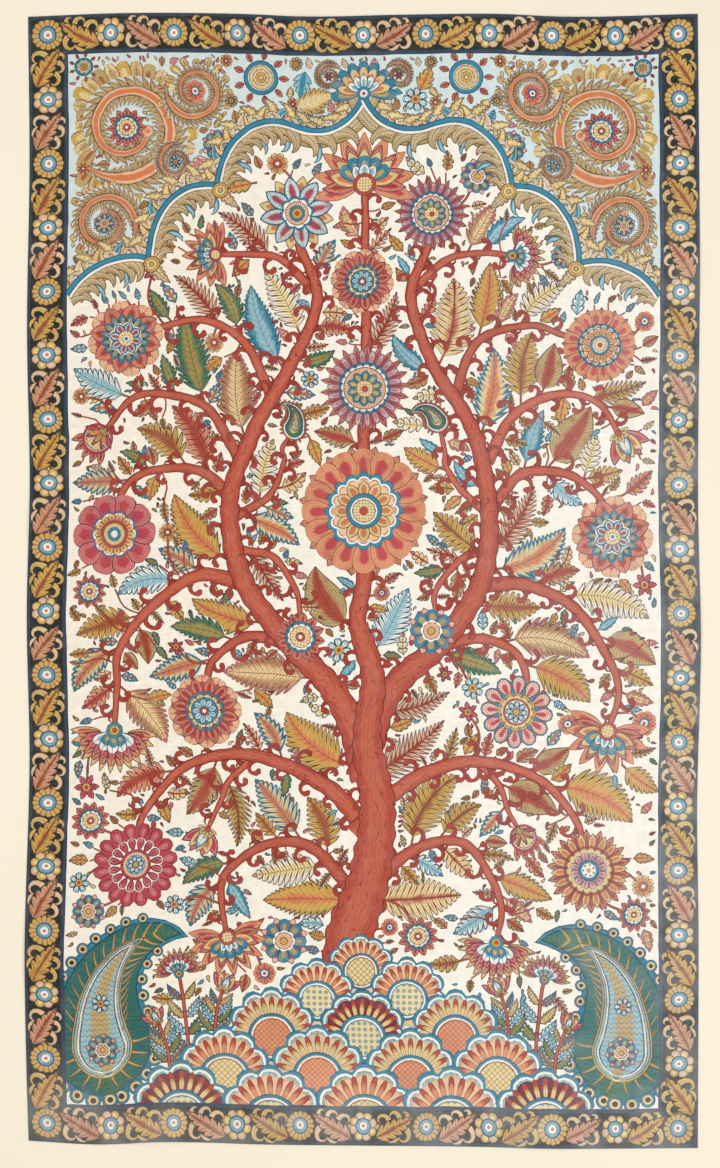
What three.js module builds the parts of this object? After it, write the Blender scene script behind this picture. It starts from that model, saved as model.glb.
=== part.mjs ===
// A painted cotton panel lying face up: one sheet of cloth with an uneven hand-cut outline,
// flat on the surface but for a few low ridges where the cloth does not quite settle.
// Millimetres, +Z up, +Y towards the top of the painting, origin under the middle of the sheet.
import * as THREE from "three";
import { mergeVertices } from "three/addons/utils/BufferGeometryUtils.js";

// Driving dimensions
const panelWidth = 914;
const panelHeight = 1540;
const clothThickness = 1.5;
const cellsAcross = 28;
const cellsUp = 46;
const clothColour = 0xf3e6cf;

// How far each edge strays outwards from the straight rectangle.
// "at" runs from 0 to 1, upwards on the sides and left to right on the top and bottom.
const edgeDrift = {
  left: [
    { at: 0.0, out: -1.0 },
    { at: 0.06, out: 2.0 },
    { at: 0.17, out: 4.5 },
    { at: 0.34, out: -2.0 },
    { at: 0.47, out: 1.8 },
    { at: 0.58, out: -2.3 },
    { at: 0.72, out: 1.4 },
    { at: 0.87, out: -2.0 },
    { at: 1.0, out: 0.0 },
  ],
  right: [
    { at: 0.0, out: -1.4 },
    { at: 0.2, out: -0.5 },
    { at: 0.3, out: -2.4 },
    { at: 0.44, out: 2.7 },
    { at: 0.57, out: -1.0 },
    { at: 0.78, out: 1.4 },
    { at: 1.0, out: -1.4 },
  ],
  top: [
    { at: 0.0, out: -2.4 },
    { at: 0.15, out: 2.7 },
    { at: 0.33, out: 1.2 },
    { at: 0.41, out: -2.4 },
    { at: 0.55, out: 0.3 },
    { at: 0.71, out: 1.4 },
    { at: 0.79, out: -2.4 },
    { at: 1.0, out: 1.6 },
  ],
  bottom: [
    { at: 0.0, out: -6.0 },
    { at: 0.11, out: -0.7 },
    { at: 0.2, out: -4.6 },
    { at: 0.35, out: -0.8 },
    { at: 0.5, out: 0.7 },
    { at: 0.65, out: 2.0 },
    { at: 0.8, out: 4.8 },
    { at: 1.0, out: 4.0 },
  ],
};

// Low ridges in the lying cloth: middle of the ridge, its turn from the X axis in degrees,
// its length along that turn, its width across it and its height.
const ridges = [
  { x: -420, y: -505, turn: 8, length: 330, width: 150, height: 3.0 },
  { x: -430, y: 75, turn: -12, length: 260, width: 130, height: 2.2 },
  { x: 425, y: -70, turn: 14, length: 290, width: 150, height: 2.6 },
  { x: 430, y: 430, turn: -6, length: 230, width: 120, height: 2.0 },
  { x: -80, y: 745, turn: 82, length: 240, width: 140, height: 2.4 },
  { x: 265, y: 750, turn: 100, length: 220, width: 120, height: 2.0 },
  { x: -270, y: -750, turn: 97, length: 250, width: 140, height: 2.4 },
  { x: 250, y: -742, turn: 78, length: 280, width: 160, height: 2.8 },
];

// A smooth curve through one edge's rows, as a function of the way along that edge
function smoothDrift(rows) {
  const places = rows.map((row) => row.at);
  const values = rows.map((row) => row.out);
  const curve = new THREE.CubicInterpolant(places, values, 1);
  return (at) => curve.evaluate(at)[0];
}

// The outline: where a point of the straight rectangle, given from 0 to 1 both ways, lies on the cloth
function makeOutline() {
  const left = smoothDrift(edgeDrift.left);
  const right = smoothDrift(edgeDrift.right);
  const top = smoothDrift(edgeDrift.top);
  const bottom = smoothDrift(edgeDrift.bottom);
  return (across, up) => ({
    x: THREE.MathUtils.lerp(-panelWidth / 2 - left(up), panelWidth / 2 + right(up), across),
    y: THREE.MathUtils.lerp(-panelHeight / 2 - bottom(across), panelHeight / 2 + top(across), up),
  });
}

// A bump that is 1 in the middle and falls softly to exactly 0 at a share of 1
function softBump(share) {
  return Math.abs(share) < 1 ? Math.cos((share * Math.PI) / 2) ** 2 : 0;
}

// How high the cloth's underside is lifted off the surface at a point
function liftAt(x, y) {
  let lift = 0;
  for (const ridge of ridges) {
    const turn = THREE.MathUtils.degToRad(ridge.turn);
    const dx = x - ridge.x;
    const dy = y - ridge.y;
    const along = dx * Math.cos(turn) + dy * Math.sin(turn);
    const across = dy * Math.cos(turn) - dx * Math.sin(turn);
    lift += ridge.height * softBump(along / (ridge.length / 2)) * softBump(across / (ridge.width / 2));
  }
  return lift;
}

// The sheet: a thin slab of cells whose corners are moved to the outline and over the ridges
function makeCloth() {
  const slab = new THREE.BoxGeometry(
    panelWidth, panelHeight, clothThickness, cellsAcross, cellsUp, 1,
  );
  slab.deleteAttribute("normal");
  slab.deleteAttribute("uv");
  const cloth = mergeVertices(slab);
  const outline = makeOutline();
  const corners = cloth.getAttribute("position");
  for (let i = 0; i < corners.count; i += 1) {
    const across = corners.getX(i) / panelWidth + 0.5;
    const up = corners.getY(i) / panelHeight + 0.5;
    const place = outline(across, up);
    const height = corners.getZ(i) > 0 ? clothThickness : 0;
    corners.setXYZ(i, place.x, place.y, height + liftAt(place.x, place.y));
  }
  cloth.computeBoundingBox();
  const middle = cloth.boundingBox.getCenter(new THREE.Vector3());
  cloth.translate(-middle.x, -middle.y, 0);
  cloth.computeVertexNormals();
  return cloth;
}

const paintedCotton = new THREE.MeshStandardMaterial({
  color: clothColour,
  roughness: 0.92,
  metalness: 0,
});

const panel = new THREE.Group();
const cloth = new THREE.Mesh(makeCloth(), paintedCotton);
cloth.name = "panel_cloth";
panel.add(cloth);

export default panel;
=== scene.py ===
import math
import random

import bpy
import numpy as np
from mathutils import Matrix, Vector, noise
from mathutils.geometry import delaunay_2d_cdt


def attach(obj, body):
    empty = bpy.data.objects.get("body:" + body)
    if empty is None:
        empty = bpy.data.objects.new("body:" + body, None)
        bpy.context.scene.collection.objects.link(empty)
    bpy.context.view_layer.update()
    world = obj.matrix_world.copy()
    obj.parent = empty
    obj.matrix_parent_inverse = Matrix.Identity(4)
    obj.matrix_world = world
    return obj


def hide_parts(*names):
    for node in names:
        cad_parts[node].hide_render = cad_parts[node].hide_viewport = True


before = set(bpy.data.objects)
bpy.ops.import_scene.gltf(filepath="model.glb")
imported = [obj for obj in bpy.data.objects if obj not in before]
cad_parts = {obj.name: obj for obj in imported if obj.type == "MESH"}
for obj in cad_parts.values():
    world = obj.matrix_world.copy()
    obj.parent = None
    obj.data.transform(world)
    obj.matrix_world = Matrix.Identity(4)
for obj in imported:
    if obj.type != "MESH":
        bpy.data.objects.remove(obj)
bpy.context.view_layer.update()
scene = bpy.context.scene

# the cloth: its cut size in millimetres, its painted border, how far the hand strays, and how it lies
panelCloth = {
    "width": 914.0, "length": 1540.0, "thickness": 1.2, "border": 54.0, "handSeed": 41, "handWobble": 1.3,
    "fineLift": 0.35, "cellsAcross": 28, "cellsUp": 46,
}
halfWide = panelCloth["width"] / 2
halfLong = panelCloth["length"] / 2
fieldX = halfWide - panelCloth["border"]
fieldY = halfLong - panelCloth["border"]
hand = random.Random(panelCloth["handSeed"])

# the dyes, as they look on the cotton
dyes = {
    "cotton": "f5efe1", "white": "f4efe4", "navy": "354457", "pitch": "252b29", "ink": "43302a",
    "brown": "5f4130", "umber": "84603f", "brick": "b04a3a", "brickDark": "742c24", "ember": "c0624b",
    "madder": "a23a30", "crimson": "c04450", "rose": "d27c7a", "blush": "ecc4b2", "peach": "de9c74",
    "orange": "d27c50", "apricot": "e9c099", "ochre": "c59c4e", "mustard": "cda653", "straw": "e6d098",
    "olive": "a2904c", "tan": "b3925f", "sand": "d8c29c", "blue": "36859f", "deepBlue": "24566f",
    "sky": "98c0c8", "mist": "d2e0de", "teal": "336d69", "deepTeal": "1d474a", "green": "4a7556",
    "plum": "70657f", "rust": "a45a38", "wine": "76303a", "salmon": "dc8a72", "clay": "cf9c7c",
    "khaki": "bda56f", "steel": "6296ab", "shell": "d2ad8b",
}


def dyeColor(name):
    value = [int(dyes[name][i:i + 2], 16) / 255 for i in (0, 2, 4)]
    return [v / 12.92 if v < 0.04045 else ((v + 0.055) / 1.055) ** 2.4 for v in value]


# pens: line, rim, fill and core dyes, then widths in millimetres of the line and the rim, the share of the
# width that the core takes, the vein pitch, slope and width, the half width of the rib, and the kind of veins:
# 0 slanted, 1 along the edge, 2 scalloped, 3 dots, 4 lattice, 5 rays, 6 wood grain. Sizes left off are 0
pens = {
    "borderGround": ("pitch navy pitch pitch", 0, 5.8),
    "bark": ("brickDark brickDark brick ember", 1, 0, .5, 8, 0, .6, 0, 6),
    "twig": ("brickDark brick brick ember", .7, 0, .5, 5, 0, .4, 0, 6),
    "hook": ("brickDark brick brick madder", .6, 0, .45),
    "ochreLeaf": ("brown mustard mustard rust", .9, 0, .3, 6, .9, .7, .5),
    "goldLeaf": ("brown straw mustard orange", .9, 1.2, .22, 6, .9, .7, .5),
    "oliveLeaf": ("brown olive olive straw", .9, 0, .34, 5.5, .9, .7, .5),
    "blueLeaf": ("deepBlue blue mustard rust", .8, 2, .3, 6, .8, .7, .5),
    "skyLeaf": ("deepBlue blue white sky", .8, 1.8, .42, 5, .8, .7, .5),
    "paleLeaf": ("brown sand white straw", .8, 1.4, .4, 4.2, .8, .7, .5),
    "greenLeaf": ("deepTeal green green olive", .9, 0, .34, 5, .9, .7, .5),
    "redLeaf": ("wine brick peach brick", .8, 1.2, .34, 5, .8, .7, .5),
    "roseRimLeaf": ("wine rose olive straw", .8, 3, .34, 5, .8, .7, .6),
    "blueRimLeaf": ("deepBlue blue straw orange", .8, 2.8, .3, 5, .8, .7, .6),
    "rustLeaf": ("brown olive khaki brick", .9, 1.2, .4, 5.5, .9, .7, .6),
    "blueBlade": ("deepBlue blue blue sky", .8, 0, .4, 4.6, .8, .6, .4),
    "goldFrond": ("brown mustard mustard rust", .8, 0, .16, 6, .9, .5, 1),
    "oliveFrond": ("brickDark olive straw brick", .8, 1, .14, 6, .9, .5, 1),
    "redFrond": ("brickDark brick apricot brick", .8, 1.2, .16, 6, .9, .5, 1),
    "oliveLeaflet": ("brown olive straw olive", .7, 0, .4, 0, 0, 0, .3),
    "peachPetal": ("rust apricot peach crimson", .9, 1.7, .4, 3.2, 0, .8, 0, 1),
    "salmonPetal": ("wine blush salmon brick", .9, 1.6, .38, 3.6, .7, .8, .5),
    "apricotPetal": ("rust peach apricot crimson", .9, 1.6, .3, 3.4, .7, .8, .5),
    "brickPetal": ("wine blush peach brick", .9, 1.5, .46, 3.4, .7, .7, .5),
    "rosePetal": ("wine plum rose crimson", .9, 1.8, .46, 3.2, 0, .8, 0, 1),
    "blushPetal": ("wine rose blush crimson", .9, 1.4, .34, 3.4, .6, .7),
    "crimsonPetal": ("wine blush crimson rose", .9, 1.4, .46, 3.2, 0, .8, 0, 1),
    "yellowPetal": ("umber mustard straw orange", .9, 1.3, .46, 2.8, .6, .5),
    "bluePetal": ("deepBlue blue sky white", .9, 1.7, .5, 3, .6, .5, .4),
    "deepPetal": ("deepBlue sky blue mustard", .9, 1.2, .36, 2.8, 0, .5, 0, 1),
    "feathered": ("umber peach straw khaki", .8, 1.8, .5, 2.6, .6, .5, .5),
    "starPetal": ("deepBlue blue mist crimson", .9, 2.2, .36, 3, .6, .6, .4),
    "skyPetal": ("deepBlue sky white sky", .8, 1.4, .46, 0, 0, 0, .4),
    "plumPetal": ("plum plum blush rose", .9, 1.6, .46, 3.4, .6, .7, .4),
    "blueRing": ("deepBlue blue blue sky", .9),
    "netRing": ("umber mustard straw straw", .8, 1, 0, 3.6, 1, .6, 0, 4),
    "dotRing": ("wine mustard straw straw", .8, 1, 0, 4, 0, 1.7, 0, 3),
    "rayRing": ("wine brick apricot peach", .8, 1.1, 0, 4, 0, .7, 0, 5),
    "tanRing": ("brown tan sand sand", .8),
    "lattice": ("umber mustard straw straw", .8, 1.4, 0, 8, 1, 1.2, 0, 4),
    "borderGold": ("brown ochre mustard shell", .8, 0, .62, 10, 0, 1, 0, 5),
    "borderSand": ("brown shell shell sand", .8, 0, .45),
    "borderGoldLobe": ("brown ochre mustard straw", .8, 0, .4),
    "borderBlue": ("deepBlue blue steel sky", .9, 1.3, .62),
    "borderGoldLeaf": ("brown straw mustard rust", .7, 1, .2, 4.6, .9, .8, .6),
    "borderRoseLeaf": ("brown apricot clay rust", .7, 1, .2, 4.6, .9, .8, .6),
    "borderRoseCurl": ("umber apricot apricot sand", .5, 0, .5),
    "borderGoldCurl": ("umber straw straw mustard", .5, 0, .5),
    "archBlue": ("deepBlue blue blue sky", .9),
    "frill": ("brown tan khaki sand", .8, 0, .4, 3.6, .8, .7, .5),
    "frillBlue": ("deepBlue blue blue sky", .8, 0, .45),
    "scrollGold": ("brown mustard mustard straw", .8, 0, .45, 4.5, .8, .5),
    "scrollCream": ("umber sand white sand", .8, 0, .45, 4.5, .8, .5),
    "scrollRose": ("wine rose blush rose", .8, 1, .45),
    "scrollBand": ("brown white apricot orange", .8, 1.6, .45),
    "fringeGold": ("umber straw khaki rust", .8, 0, .3, 6, .9, .5),
    "scrollBlue": ("deepBlue blue sky blue", .8, 1, .4),
    "mangoTeal": ("deepTeal blue teal green", .9, 1.6, .4, 7, 0, .9, 0, 2),
    "mangoHeart": ("deepBlue straw sky khaki", .9, 1.6, .5, 7, 0, .9, 0, 2),
    "mangoBand": ("deepBlue white blue sky", .9, 1.3, 0, 4.4, 0, 1.7, 0, 3),
    "hillTan": ("umber sand sand straw", .8),
    "hillCream": ("umber straw apricot apricot", .6, 2.6),
    "hillWine": ("ink plum wine wine", .6, 1.4),
    "flamePetal": ("rust orange orange peach", .5, 0, .7, 0, 0, 0, .3),
    "flameTip": ("wine brick brick madder", .6, 0, .4),
    "sunPetal": ("rust orange mustard straw", .5, 0, .7, 0, 0, 0, .3),
    "mosaic": ("blue deepBlue straw straw", .8, 1.4, 0, 8.2, 0, 4.6, 0, 3),
    "emberNet": ("brick orange peach peach", .8, 1.4, 0, 7.4, 1, 1.2, 0, 4),
}
# pens of one dye: line and fill, width of the line
plainPens = {
    "ground": ("cotton cotton", 0), "spandrel": ("mist mist", 0), "inkDot": ("ink ink", 0),
    "stem": ("brickDark brick", .3), "goldTongue": ("rust mustard", .3), "whiteRing": ("brown white", .6),
    "skyRing": ("deepBlue sky", .7), "goldRing": ("brown mustard", .8), "redRing": ("wine brick", .8),
    "crimsonRing": ("wine crimson", .8), "plumRing": ("plum plum", .8), "straw": ("umber straw", .7),
    "redDot": ("wine brick", .3), "blueDot": ("deepBlue blue", .3), "goldDot": ("umber mustard", .3),
    "whiteDot": ("umber white", .25), "roseDot": ("brick rose", .3), "archWhite": ("umber white", .5),
    "hillBlue": ("deepBlue blue", .9), "hillWhite": ("umber white", .6),
}
for name, (dye, wide) in plainPens.items():
    line, fill = dye.split()
    pens[name] = (f"{line} {fill} {fill} {fill}", wide)
for name, (dye, *sizes) in pens.items():
    pens[name] = (*dye.split(), *sizes, *[0] * (8 - len(sizes)))
penNames = list(pens)
penIndex = {name: i for i, name in enumerate(penNames)}
noForm = (0, 0, 0, 0)
bareStroke = (9.0, 0.0, 0.0)  # a place well inside a plain ground


def crossOf(u, v):
    return u[..., 0] * v[..., 1] - u[..., 1] * v[..., 0]


# twice the signed area of each triangle
def areasOf(corners):
    return crossOf(corners[:, 1] - corners[:, 0], corners[:, 2] - corners[:, 0])


# painted shapes in millimetres. Later coats cover earlier ones. Each corner keeps a stroke: half width, way
# along and way across for a strip, or a mark and the place inside the shape for a disc (-1) and a petal (-2)
class Stencil:
    def __init__(self):
        keys = ("corners", "strokes", "edges", "pens", "coats", "tones", "forms", "whole")
        self.parts = {key: [] for key in keys}
        self.coat = 0

    def put(self, **values):
        for key, value in values.items():
            self.parts[key].append(value)

    def add(self, corners, strokes, edges, pen, form=noForm, whole=False):
        kept = np.abs(areasOf(corners)) > 0.01
        count = int(kept.sum())
        self.coat += 1
        tone = hand.uniform(-1, 1) if pens[pen][4] else 0.0  # flat grounds keep one tone
        self.put(corners=corners[kept], strokes=strokes[kept], edges=edges, pens=np.full(count, penIndex[pen]),
                 coats=np.full(count, self.coat), tones=np.full(count, tone),
                 forms=np.tile(np.array(form, float), (count, 1)), whole=np.full(count, whole))

    def arrays(self):
        return {key: np.concatenate(part) for key, part in self.parts.items()}


stencil = Stencil()


# a spot is where a motif is drawn: place, turn, size and hand
def spotAt(x, y, turn=0.0, size=1.0, flip=1):
    return x, y, turn, size, flip


# the same spot on the other half of the cloth
def mirrored(x, y, turn, mirror, flip):
    return spotAt(x * mirror, y, turn if mirror > 0 else math.pi - turn, 1.0, flip)


def onCloth(spot, points):
    x, y, turn, size, flip = spot
    points = np.asarray(points, float) * (size, size * flip)
    c, s = math.cos(turn), math.sin(turn)
    px, py = points[..., 0], points[..., 1]
    return np.stack([x + px * c - py * s, y + px * s + py * c], -1)


def within(spot, x, y, turn=0.0, size=1.0, flip=1):
    px, py = onCloth(spot, (x, y))
    return px, py, spot[2] + spot[4] * turn, spot[3] * size, spot[4] * flip


# a spot on a circle round another one
def around(spot, angle, away, turn=0.0):
    return within(spot, math.cos(angle) * away, math.sin(angle) * away, turn)


def runOf(line):
    return np.concatenate([[0], np.cumsum(np.linalg.norm(np.diff(line, axis=0), axis=1))])


# the same line with its points evenly spaced
def evenly(line, step, fewest):
    run = runOf(line)
    at = np.linspace(0, run[-1], max(fewest, int(run[-1] / step)) + 1)
    return np.stack([np.interp(at, run, line[:, k]) for k in (0, 1)], 1)


def outlineOf(loop):
    return np.stack([loop, np.roll(loop, -1, 0)], 1)


# a strip between two sides, whose pen follows its own length and width
def stripOn(spot, left, right, reach, pen, form=noForm):
    left, right = onCloth(spot, left), onCloth(spot, right)
    along = runOf((left + right) / 2)
    reach = np.asarray(reach, float) * spot[3]
    up = np.stack([reach, along, reach], 1)
    down = np.stack([reach, along, -reach], 1)
    corners, strokes = (np.concatenate([np.stack(half, 1) for half in (
        (b[:-1], b[1:], a[1:]), (b[:-1], a[1:], a[:-1]))]) for a, b in ((left, right), (up, down)))
    edges = np.concatenate([np.stack([a, b], 1) for a, b in (
        (left[:-1], left[1:]), (right[:-1], right[1:]), (left, right), (right[:-1], left[1:]))])
    stencil.add(corners, strokes, edges, pen, form)


def normalsOf(spine):
    step = np.gradient(spine, axis=0)
    step /= np.maximum(np.linalg.norm(step, axis=1, keepdims=True), 1e-9)
    return np.stack([-step[:, 1], step[:, 0]], 1), step


def ribbon(spot, spine, widths, pen, form=noForm):
    spine = np.asarray(spine, float)
    widths = np.broadcast_to(widths, (len(spine),))
    side = normalsOf(spine)[0] * widths[:, None]
    stripOn(spot, spine + side, spine - side, widths, pen, form)


# a line that starts along x and turns by bend over its length, tighter towards its end when eager is over 1
def bentSpine(length, bend, steps, eager=1.0):
    share = (np.arange(steps) + 0.5) / steps
    heading = bend * share ** eager
    moves = np.stack([np.cos(heading), np.sin(heading)], 1) * length / steps
    return np.concatenate([[[0, 0]], np.cumsum(moves, axis=0)])


# leaf edges, cut by the cloth's own shader: share of the width that is cut away, lean of the lobes, sharpness
leafEdges = {"lobed": (0.35, 0.75, 2.2), "toothed": (0.28, 0.9, 1.1), "feather": (0.74, 0.85, 1.5),
             "oak": (0.55, 0.5, 2.6), "smooth": (0, 0, 1)}
leafStep = 8.5


def leaf(spot, length, width, bend, pen, lobes=8, edge="lobed", belly=0.75):
    count = max(5, int(length * spot[3] / leafStep))
    share = np.linspace(0, 1, count + 1)
    bite, lean, sharp = leafEdges[edge]
    widths = width * np.sin(np.pi * share ** belly) ** 0.85
    form = (length * spot[3] / lobes, bite, lean, sharp) if bite else noForm
    ribbon(spot, bentSpine(length, bend, count), widths, pen, form)


# petals swell and close by two powers: how fast from the foot, how fast to the tip
petalShapes = {"point": (0.8, 0.9), "round": (0.8, 0.42)}


def petal(spot, inner, outer, width, pen, shape="point", steps=6):
    rise, fall = petalShapes[shape]
    peak = (rise / (rise + fall)) ** rise * (fall / (rise + fall)) ** fall
    share = 0.5 - 0.5 * np.cos(np.pi * np.linspace(0, 1, steps + 1))
    widths = width / peak * share ** rise * (1 - share) ** fall
    long = outer - inner
    left = np.stack([long * share, widths], 1)
    loop = np.concatenate([left, (left * (1, -1))[-2:0:-1]])
    placed = onCloth(spot, loop + (inner, 0))
    right = np.concatenate([[0], np.arange(len(loop) - 1, steps, -1), [steps]])
    faces = np.concatenate([np.stack([right[:-1], right[1:], np.arange(1, steps + 1)], 1),
                            np.stack([right[:-1], np.arange(1, steps + 1), np.arange(steps)], 1)])
    strokes = np.concatenate([np.full((len(loop), 1), -2.0), loop * spot[3]], 1)
    stencil.add(placed[faces], strokes[faces], outlineOf(placed), pen,
                (long * spot[3], width / peak * spot[3], rise, fall), True)


# petals all round, or in a fan whose middle ones lie on top
def petalRing(spot, count, inner, outer, width, pen, shape="point", first=0.0, span=math.tau, steps=6):
    whole = span > 6.2
    gap = span / (count if whole else max(count - 1, 1))
    order = range(count) if whole else sorted(range(count), key=lambda i: -abs(i - (count - 1) / 2))
    for i in order:
        turn = first + gap * i if whole else first - span / 2 + gap * i
        petal(within(spot, 0, 0, turn), inner, outer, width, pen, shape, steps)


def disc(spot, radius, pen, lobes=0, depth=0.0, sides=None):
    size = spot[3]
    if lobes:
        sides = lobes * (4 if radius * size / lobes > 2.2 else 3)
    elif sides is None:
        sides = int(np.clip(radius * size * 0.8, 8, 36))
    angle = np.arange(sides) / sides * math.tau
    radii = np.full(sides, float(radius))
    if lobes:
        radii = radius * (1 - depth * (1 - np.abs(np.cos(lobes * angle / 2)) ** 0.6))
    loop = np.stack([np.cos(angle) * radii, np.sin(angle) * radii], 1)
    placed = onCloth(spot, loop)
    near = np.arange(sides)
    corners = np.stack([np.broadcast_to(onCloth(spot, (0, 0)), (sides, 2)), placed, np.roll(placed, -1, 0)], 1)
    strokes = np.concatenate([np.full((sides + 1, 1), -1.0), np.concatenate([loop * size, [[0, 0]]])], 1)
    faces = np.stack([np.full(sides, sides), near, np.roll(near, -1)], 1)
    rays = lobes or max(7, int(math.tau * radius * size / max(pens[pen][7], 2.0)))
    stencil.add(corners, strokes[faces], outlineOf(placed), pen, (radius * size, lobes, depth, rays), True)


# discs one on another, from the widest: radius, pen, sides
def discs(spot, *rounds):
    for radius, pen, sides in rounds:
        disc(spot, radius, pen, sides=sides)


def hook(spot, length, width, bend, pen, steps=6):
    share = np.linspace(0, 1, steps + 1)
    ribbon(spot, bentSpine(length, bend, steps, 1.6), width * (1 - share) ** 0.7 + 0.5, pen)


# a curl that thins to a neck and ends in a knob
def curl(spot, length, width, bend, pen, steps=9):
    share = np.linspace(0, 1, steps + 1)
    neck = 1 - 0.5 * np.minimum(1, share / 0.6)
    knob = 0.5 * np.sin(np.pi * np.clip((share - 0.6) / 0.46, 0, 1))
    ribbon(spot, bentSpine(length, bend, steps, 1.5), width * np.where(share > 0.99, 0.45, neck + knob), pen)


# a mango: a round head that tapers into a curled tip. Inner ones follow the same spine, from start to end
mangoHead = 0.42
mangoSteps = 160


def mangoLine(length, width, bend, start=0.0, end=1.0, scale=1.0):
    fine = bentSpine(length, bend, mangoSteps, 2.0)
    head = min(mangoHead, width * scale / (length * (end - start)))
    turn = np.linspace(0, math.pi / 2, 9)
    tail = np.linspace(0, 1, 15)[1:]
    share = np.concatenate([head * (1 - np.cos(turn)), head + (1 - head) * tail])
    swell = np.concatenate([np.sin(turn), (1 - tail) ** 0.8])
    place = (start + (end - start) * share) * mangoSteps
    spine = np.stack([np.interp(place, np.arange(mangoSteps + 1), fine[:, k]) for k in (0, 1)], 1)
    return spine, width * scale * swell


def mango(spot, length, width, bend, pen, start=0.0, end=1.0, scale=1.0):
    spine, widths = mangoLine(length, width, bend, start, end, scale)
    ribbon(spot, spine, widths, pen)
    return spine, widths


# a band that winds into a spiral, with a feathered fringe under it
def scroll(spot, radius, turns, width, pen, fringePen, fringeWide):
    angle = np.linspace(0, turns * math.tau, 120)
    reach = radius * (1 - 0.62 * (angle / angle[-1]) ** 0.8)
    spine = evenly(np.stack([np.cos(angle) * reach, np.sin(angle) * reach], 1), 7, 1)
    share = np.linspace(0, 1, len(spine))
    swell = np.minimum(1, share * 5) * (1 - 0.6 * share)
    ribbon(spot, spine, fringeWide * swell + 0.4, fringePen, (max(3.4, fringeWide * 0.3), 0.5, 0.7, 1.6))
    ribbon(spot, spine, width * (1 - 0.55 * share) * np.minimum(1, 0.25 + share * 5), pen)
    disc(within(spot, *spine[-1]), width * 0.85, pen)
    return onCloth(spot, spine), fringeWide * swell * 0.8 + 2


# helpers for node trees: a socket takes a plain value or another socket
def wire(value, socket):
    value = value.socket if isinstance(value, Value) else value
    if isinstance(value, bpy.types.NodeSocket):
        socket.id_data.links.new(value, socket)
    else:
        socket.default_value = value


def addNode(tree, kind, sockets=(), **settings):
    node = tree.nodes.new(kind)
    for key, value in settings.items():
        setattr(node, key, value)
    for key, value in dict(sockets).items():
        wire(value, node.inputs[key])
    return node


# a shader value to reckon with: each step adds a Math node to its tree
class Value:
    def __init__(self, socket):
        self.socket = socket

    def __abs__(self):
        return reckon("ABSOLUTE", self)


def reckon(kind, *values, clamp=False):
    tree = next(value.socket.id_data for value in values if isinstance(value, Value))
    return Value(addNode(tree, "ShaderNodeMath", enumerate(values), operation=kind, use_clamp=clamp).outputs[0])


mathSigns = {"add": "ADD", "sub": "SUBTRACT", "mul": "MULTIPLY", "truediv": "DIVIDE", "pow": "POWER"}
for sign, kind in mathSigns.items():
    setattr(Value, f"__{sign}__", lambda self, other, kind=kind: reckon(kind, self, other))
    setattr(Value, f"__r{sign}__", lambda self, other, kind=kind: reckon(kind, other, self))


def addObject(name, data):
    thing = bpy.data.objects.new(name, data)
    scene.collection.objects.link(thing)
    return thing


layerSlots = {"FLOAT_VECTOR": "vector", "FLOAT_COLOR": "color", "INT": "value"}


def addLayer(mesh, key, kind, domain, values):
    mesh.attributes.new(key, kind, domain).data.foreach_set(layerSlots[kind], np.ravel(values))


def readLayer(data, key, count, kind=np.float32):
    values = np.zeros(count, kind)
    data.foreach_get(key, values)
    return values


# the border's repeats: sizes in millimetres, and how far each motif may stray
borderRepeat = {
    "rosette": 20.2, "leafLength": 63.0, "leafWidth": 13.5, "crookWide": 3.1, "crookSwell": 0.03,
    "acrossCount": 11, "upCount": 16, "strayTurn": 0.07, "straySize": 0.05, "seed": 7,
    "leafCoat": 100, "rosetteCoat": 200,
}
# crooks that thin towards their tips, on both sides of the leaf: foot, turn, length, bend
borderCrooks = [
    (8, -2, 0.30, 42, 4.6), (-2, 2, 0.75, 36, 4.4), (-12, 7, 1.2, 22, 3.6), (-8, 2, -1.45, 38, -4.4),
    (4, -4, -1.15, 32, -4.2), (14, -9, -0.8, 20, -3.4), (-19, 9, -1.9, 24, -3.6),
]


def goldRosette(spot):
    size = borderRepeat["rosette"]
    disc(spot, size, "borderGold", lobes=16, depth=0.13)
    discs(spot, (size * 0.54, "borderBlue", 18), (size * 0.31, "whiteRing", 12), (size * 0.11, "roseDot", 7))


def lobedRosette(spot):
    size = borderRepeat["rosette"]
    for i in range(8):
        pen = "borderGoldLobe" if i % 2 else "borderSand"
        disc(around(spot, math.tau * (i + 0.5) / 8, size * 0.67), size * 0.34, pen, sides=12)
    discs(spot, (size * 0.55, "borderBlue", 18), (size * 0.30, "whiteRing", 12), (size * 0.11, "roseDot", 7))


def borderSpray(spot, leafPen, curlPen):
    for x, y, turn, long, bend in borderCrooks:
        wide = borderRepeat["crookWide"] + long * borderRepeat["crookSwell"]
        hook(within(spot, x, y, turn), long, wide, bend, curlPen, 10 if long > 30 else 7)
    long, wide = borderRepeat["leafLength"], borderRepeat["leafWidth"]
    leaf(within(spot, -27, 15.5, -0.40), long, wide, -0.27, leafPen, 6, "lobed", 0.66)


# one painted motif as a small flat mesh that carries its strokes, for the border's repeats
def motifMesh(name, draw, firstCoat):
    global stencil
    kept = stencil
    stencil = Stencil()
    stencil.coat = firstCoat
    draw(spotAt(0, 0))
    made = stencil.arrays()
    stencil = kept
    points = np.pad(made["corners"].reshape(-1, 2), ((0, 0), (0, 1)))
    mesh = bpy.data.meshes.new(name)
    mesh.from_pydata(points.tolist(), [], np.arange(len(points)).reshape(-1, 3).tolist())
    addLayer(mesh, "stroke", "FLOAT_VECTOR", "POINT", made["strokes"])
    addLayer(mesh, "form", "FLOAT_COLOR", "FACE", made["forms"])
    for key in ("pen", "coat", "whole"):
        addLayer(mesh, key, "INT", "FACE", made["whole" if key == "whole" else key + "s"].astype(int))
    return bpy.data.objects.new(name, mesh)


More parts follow.
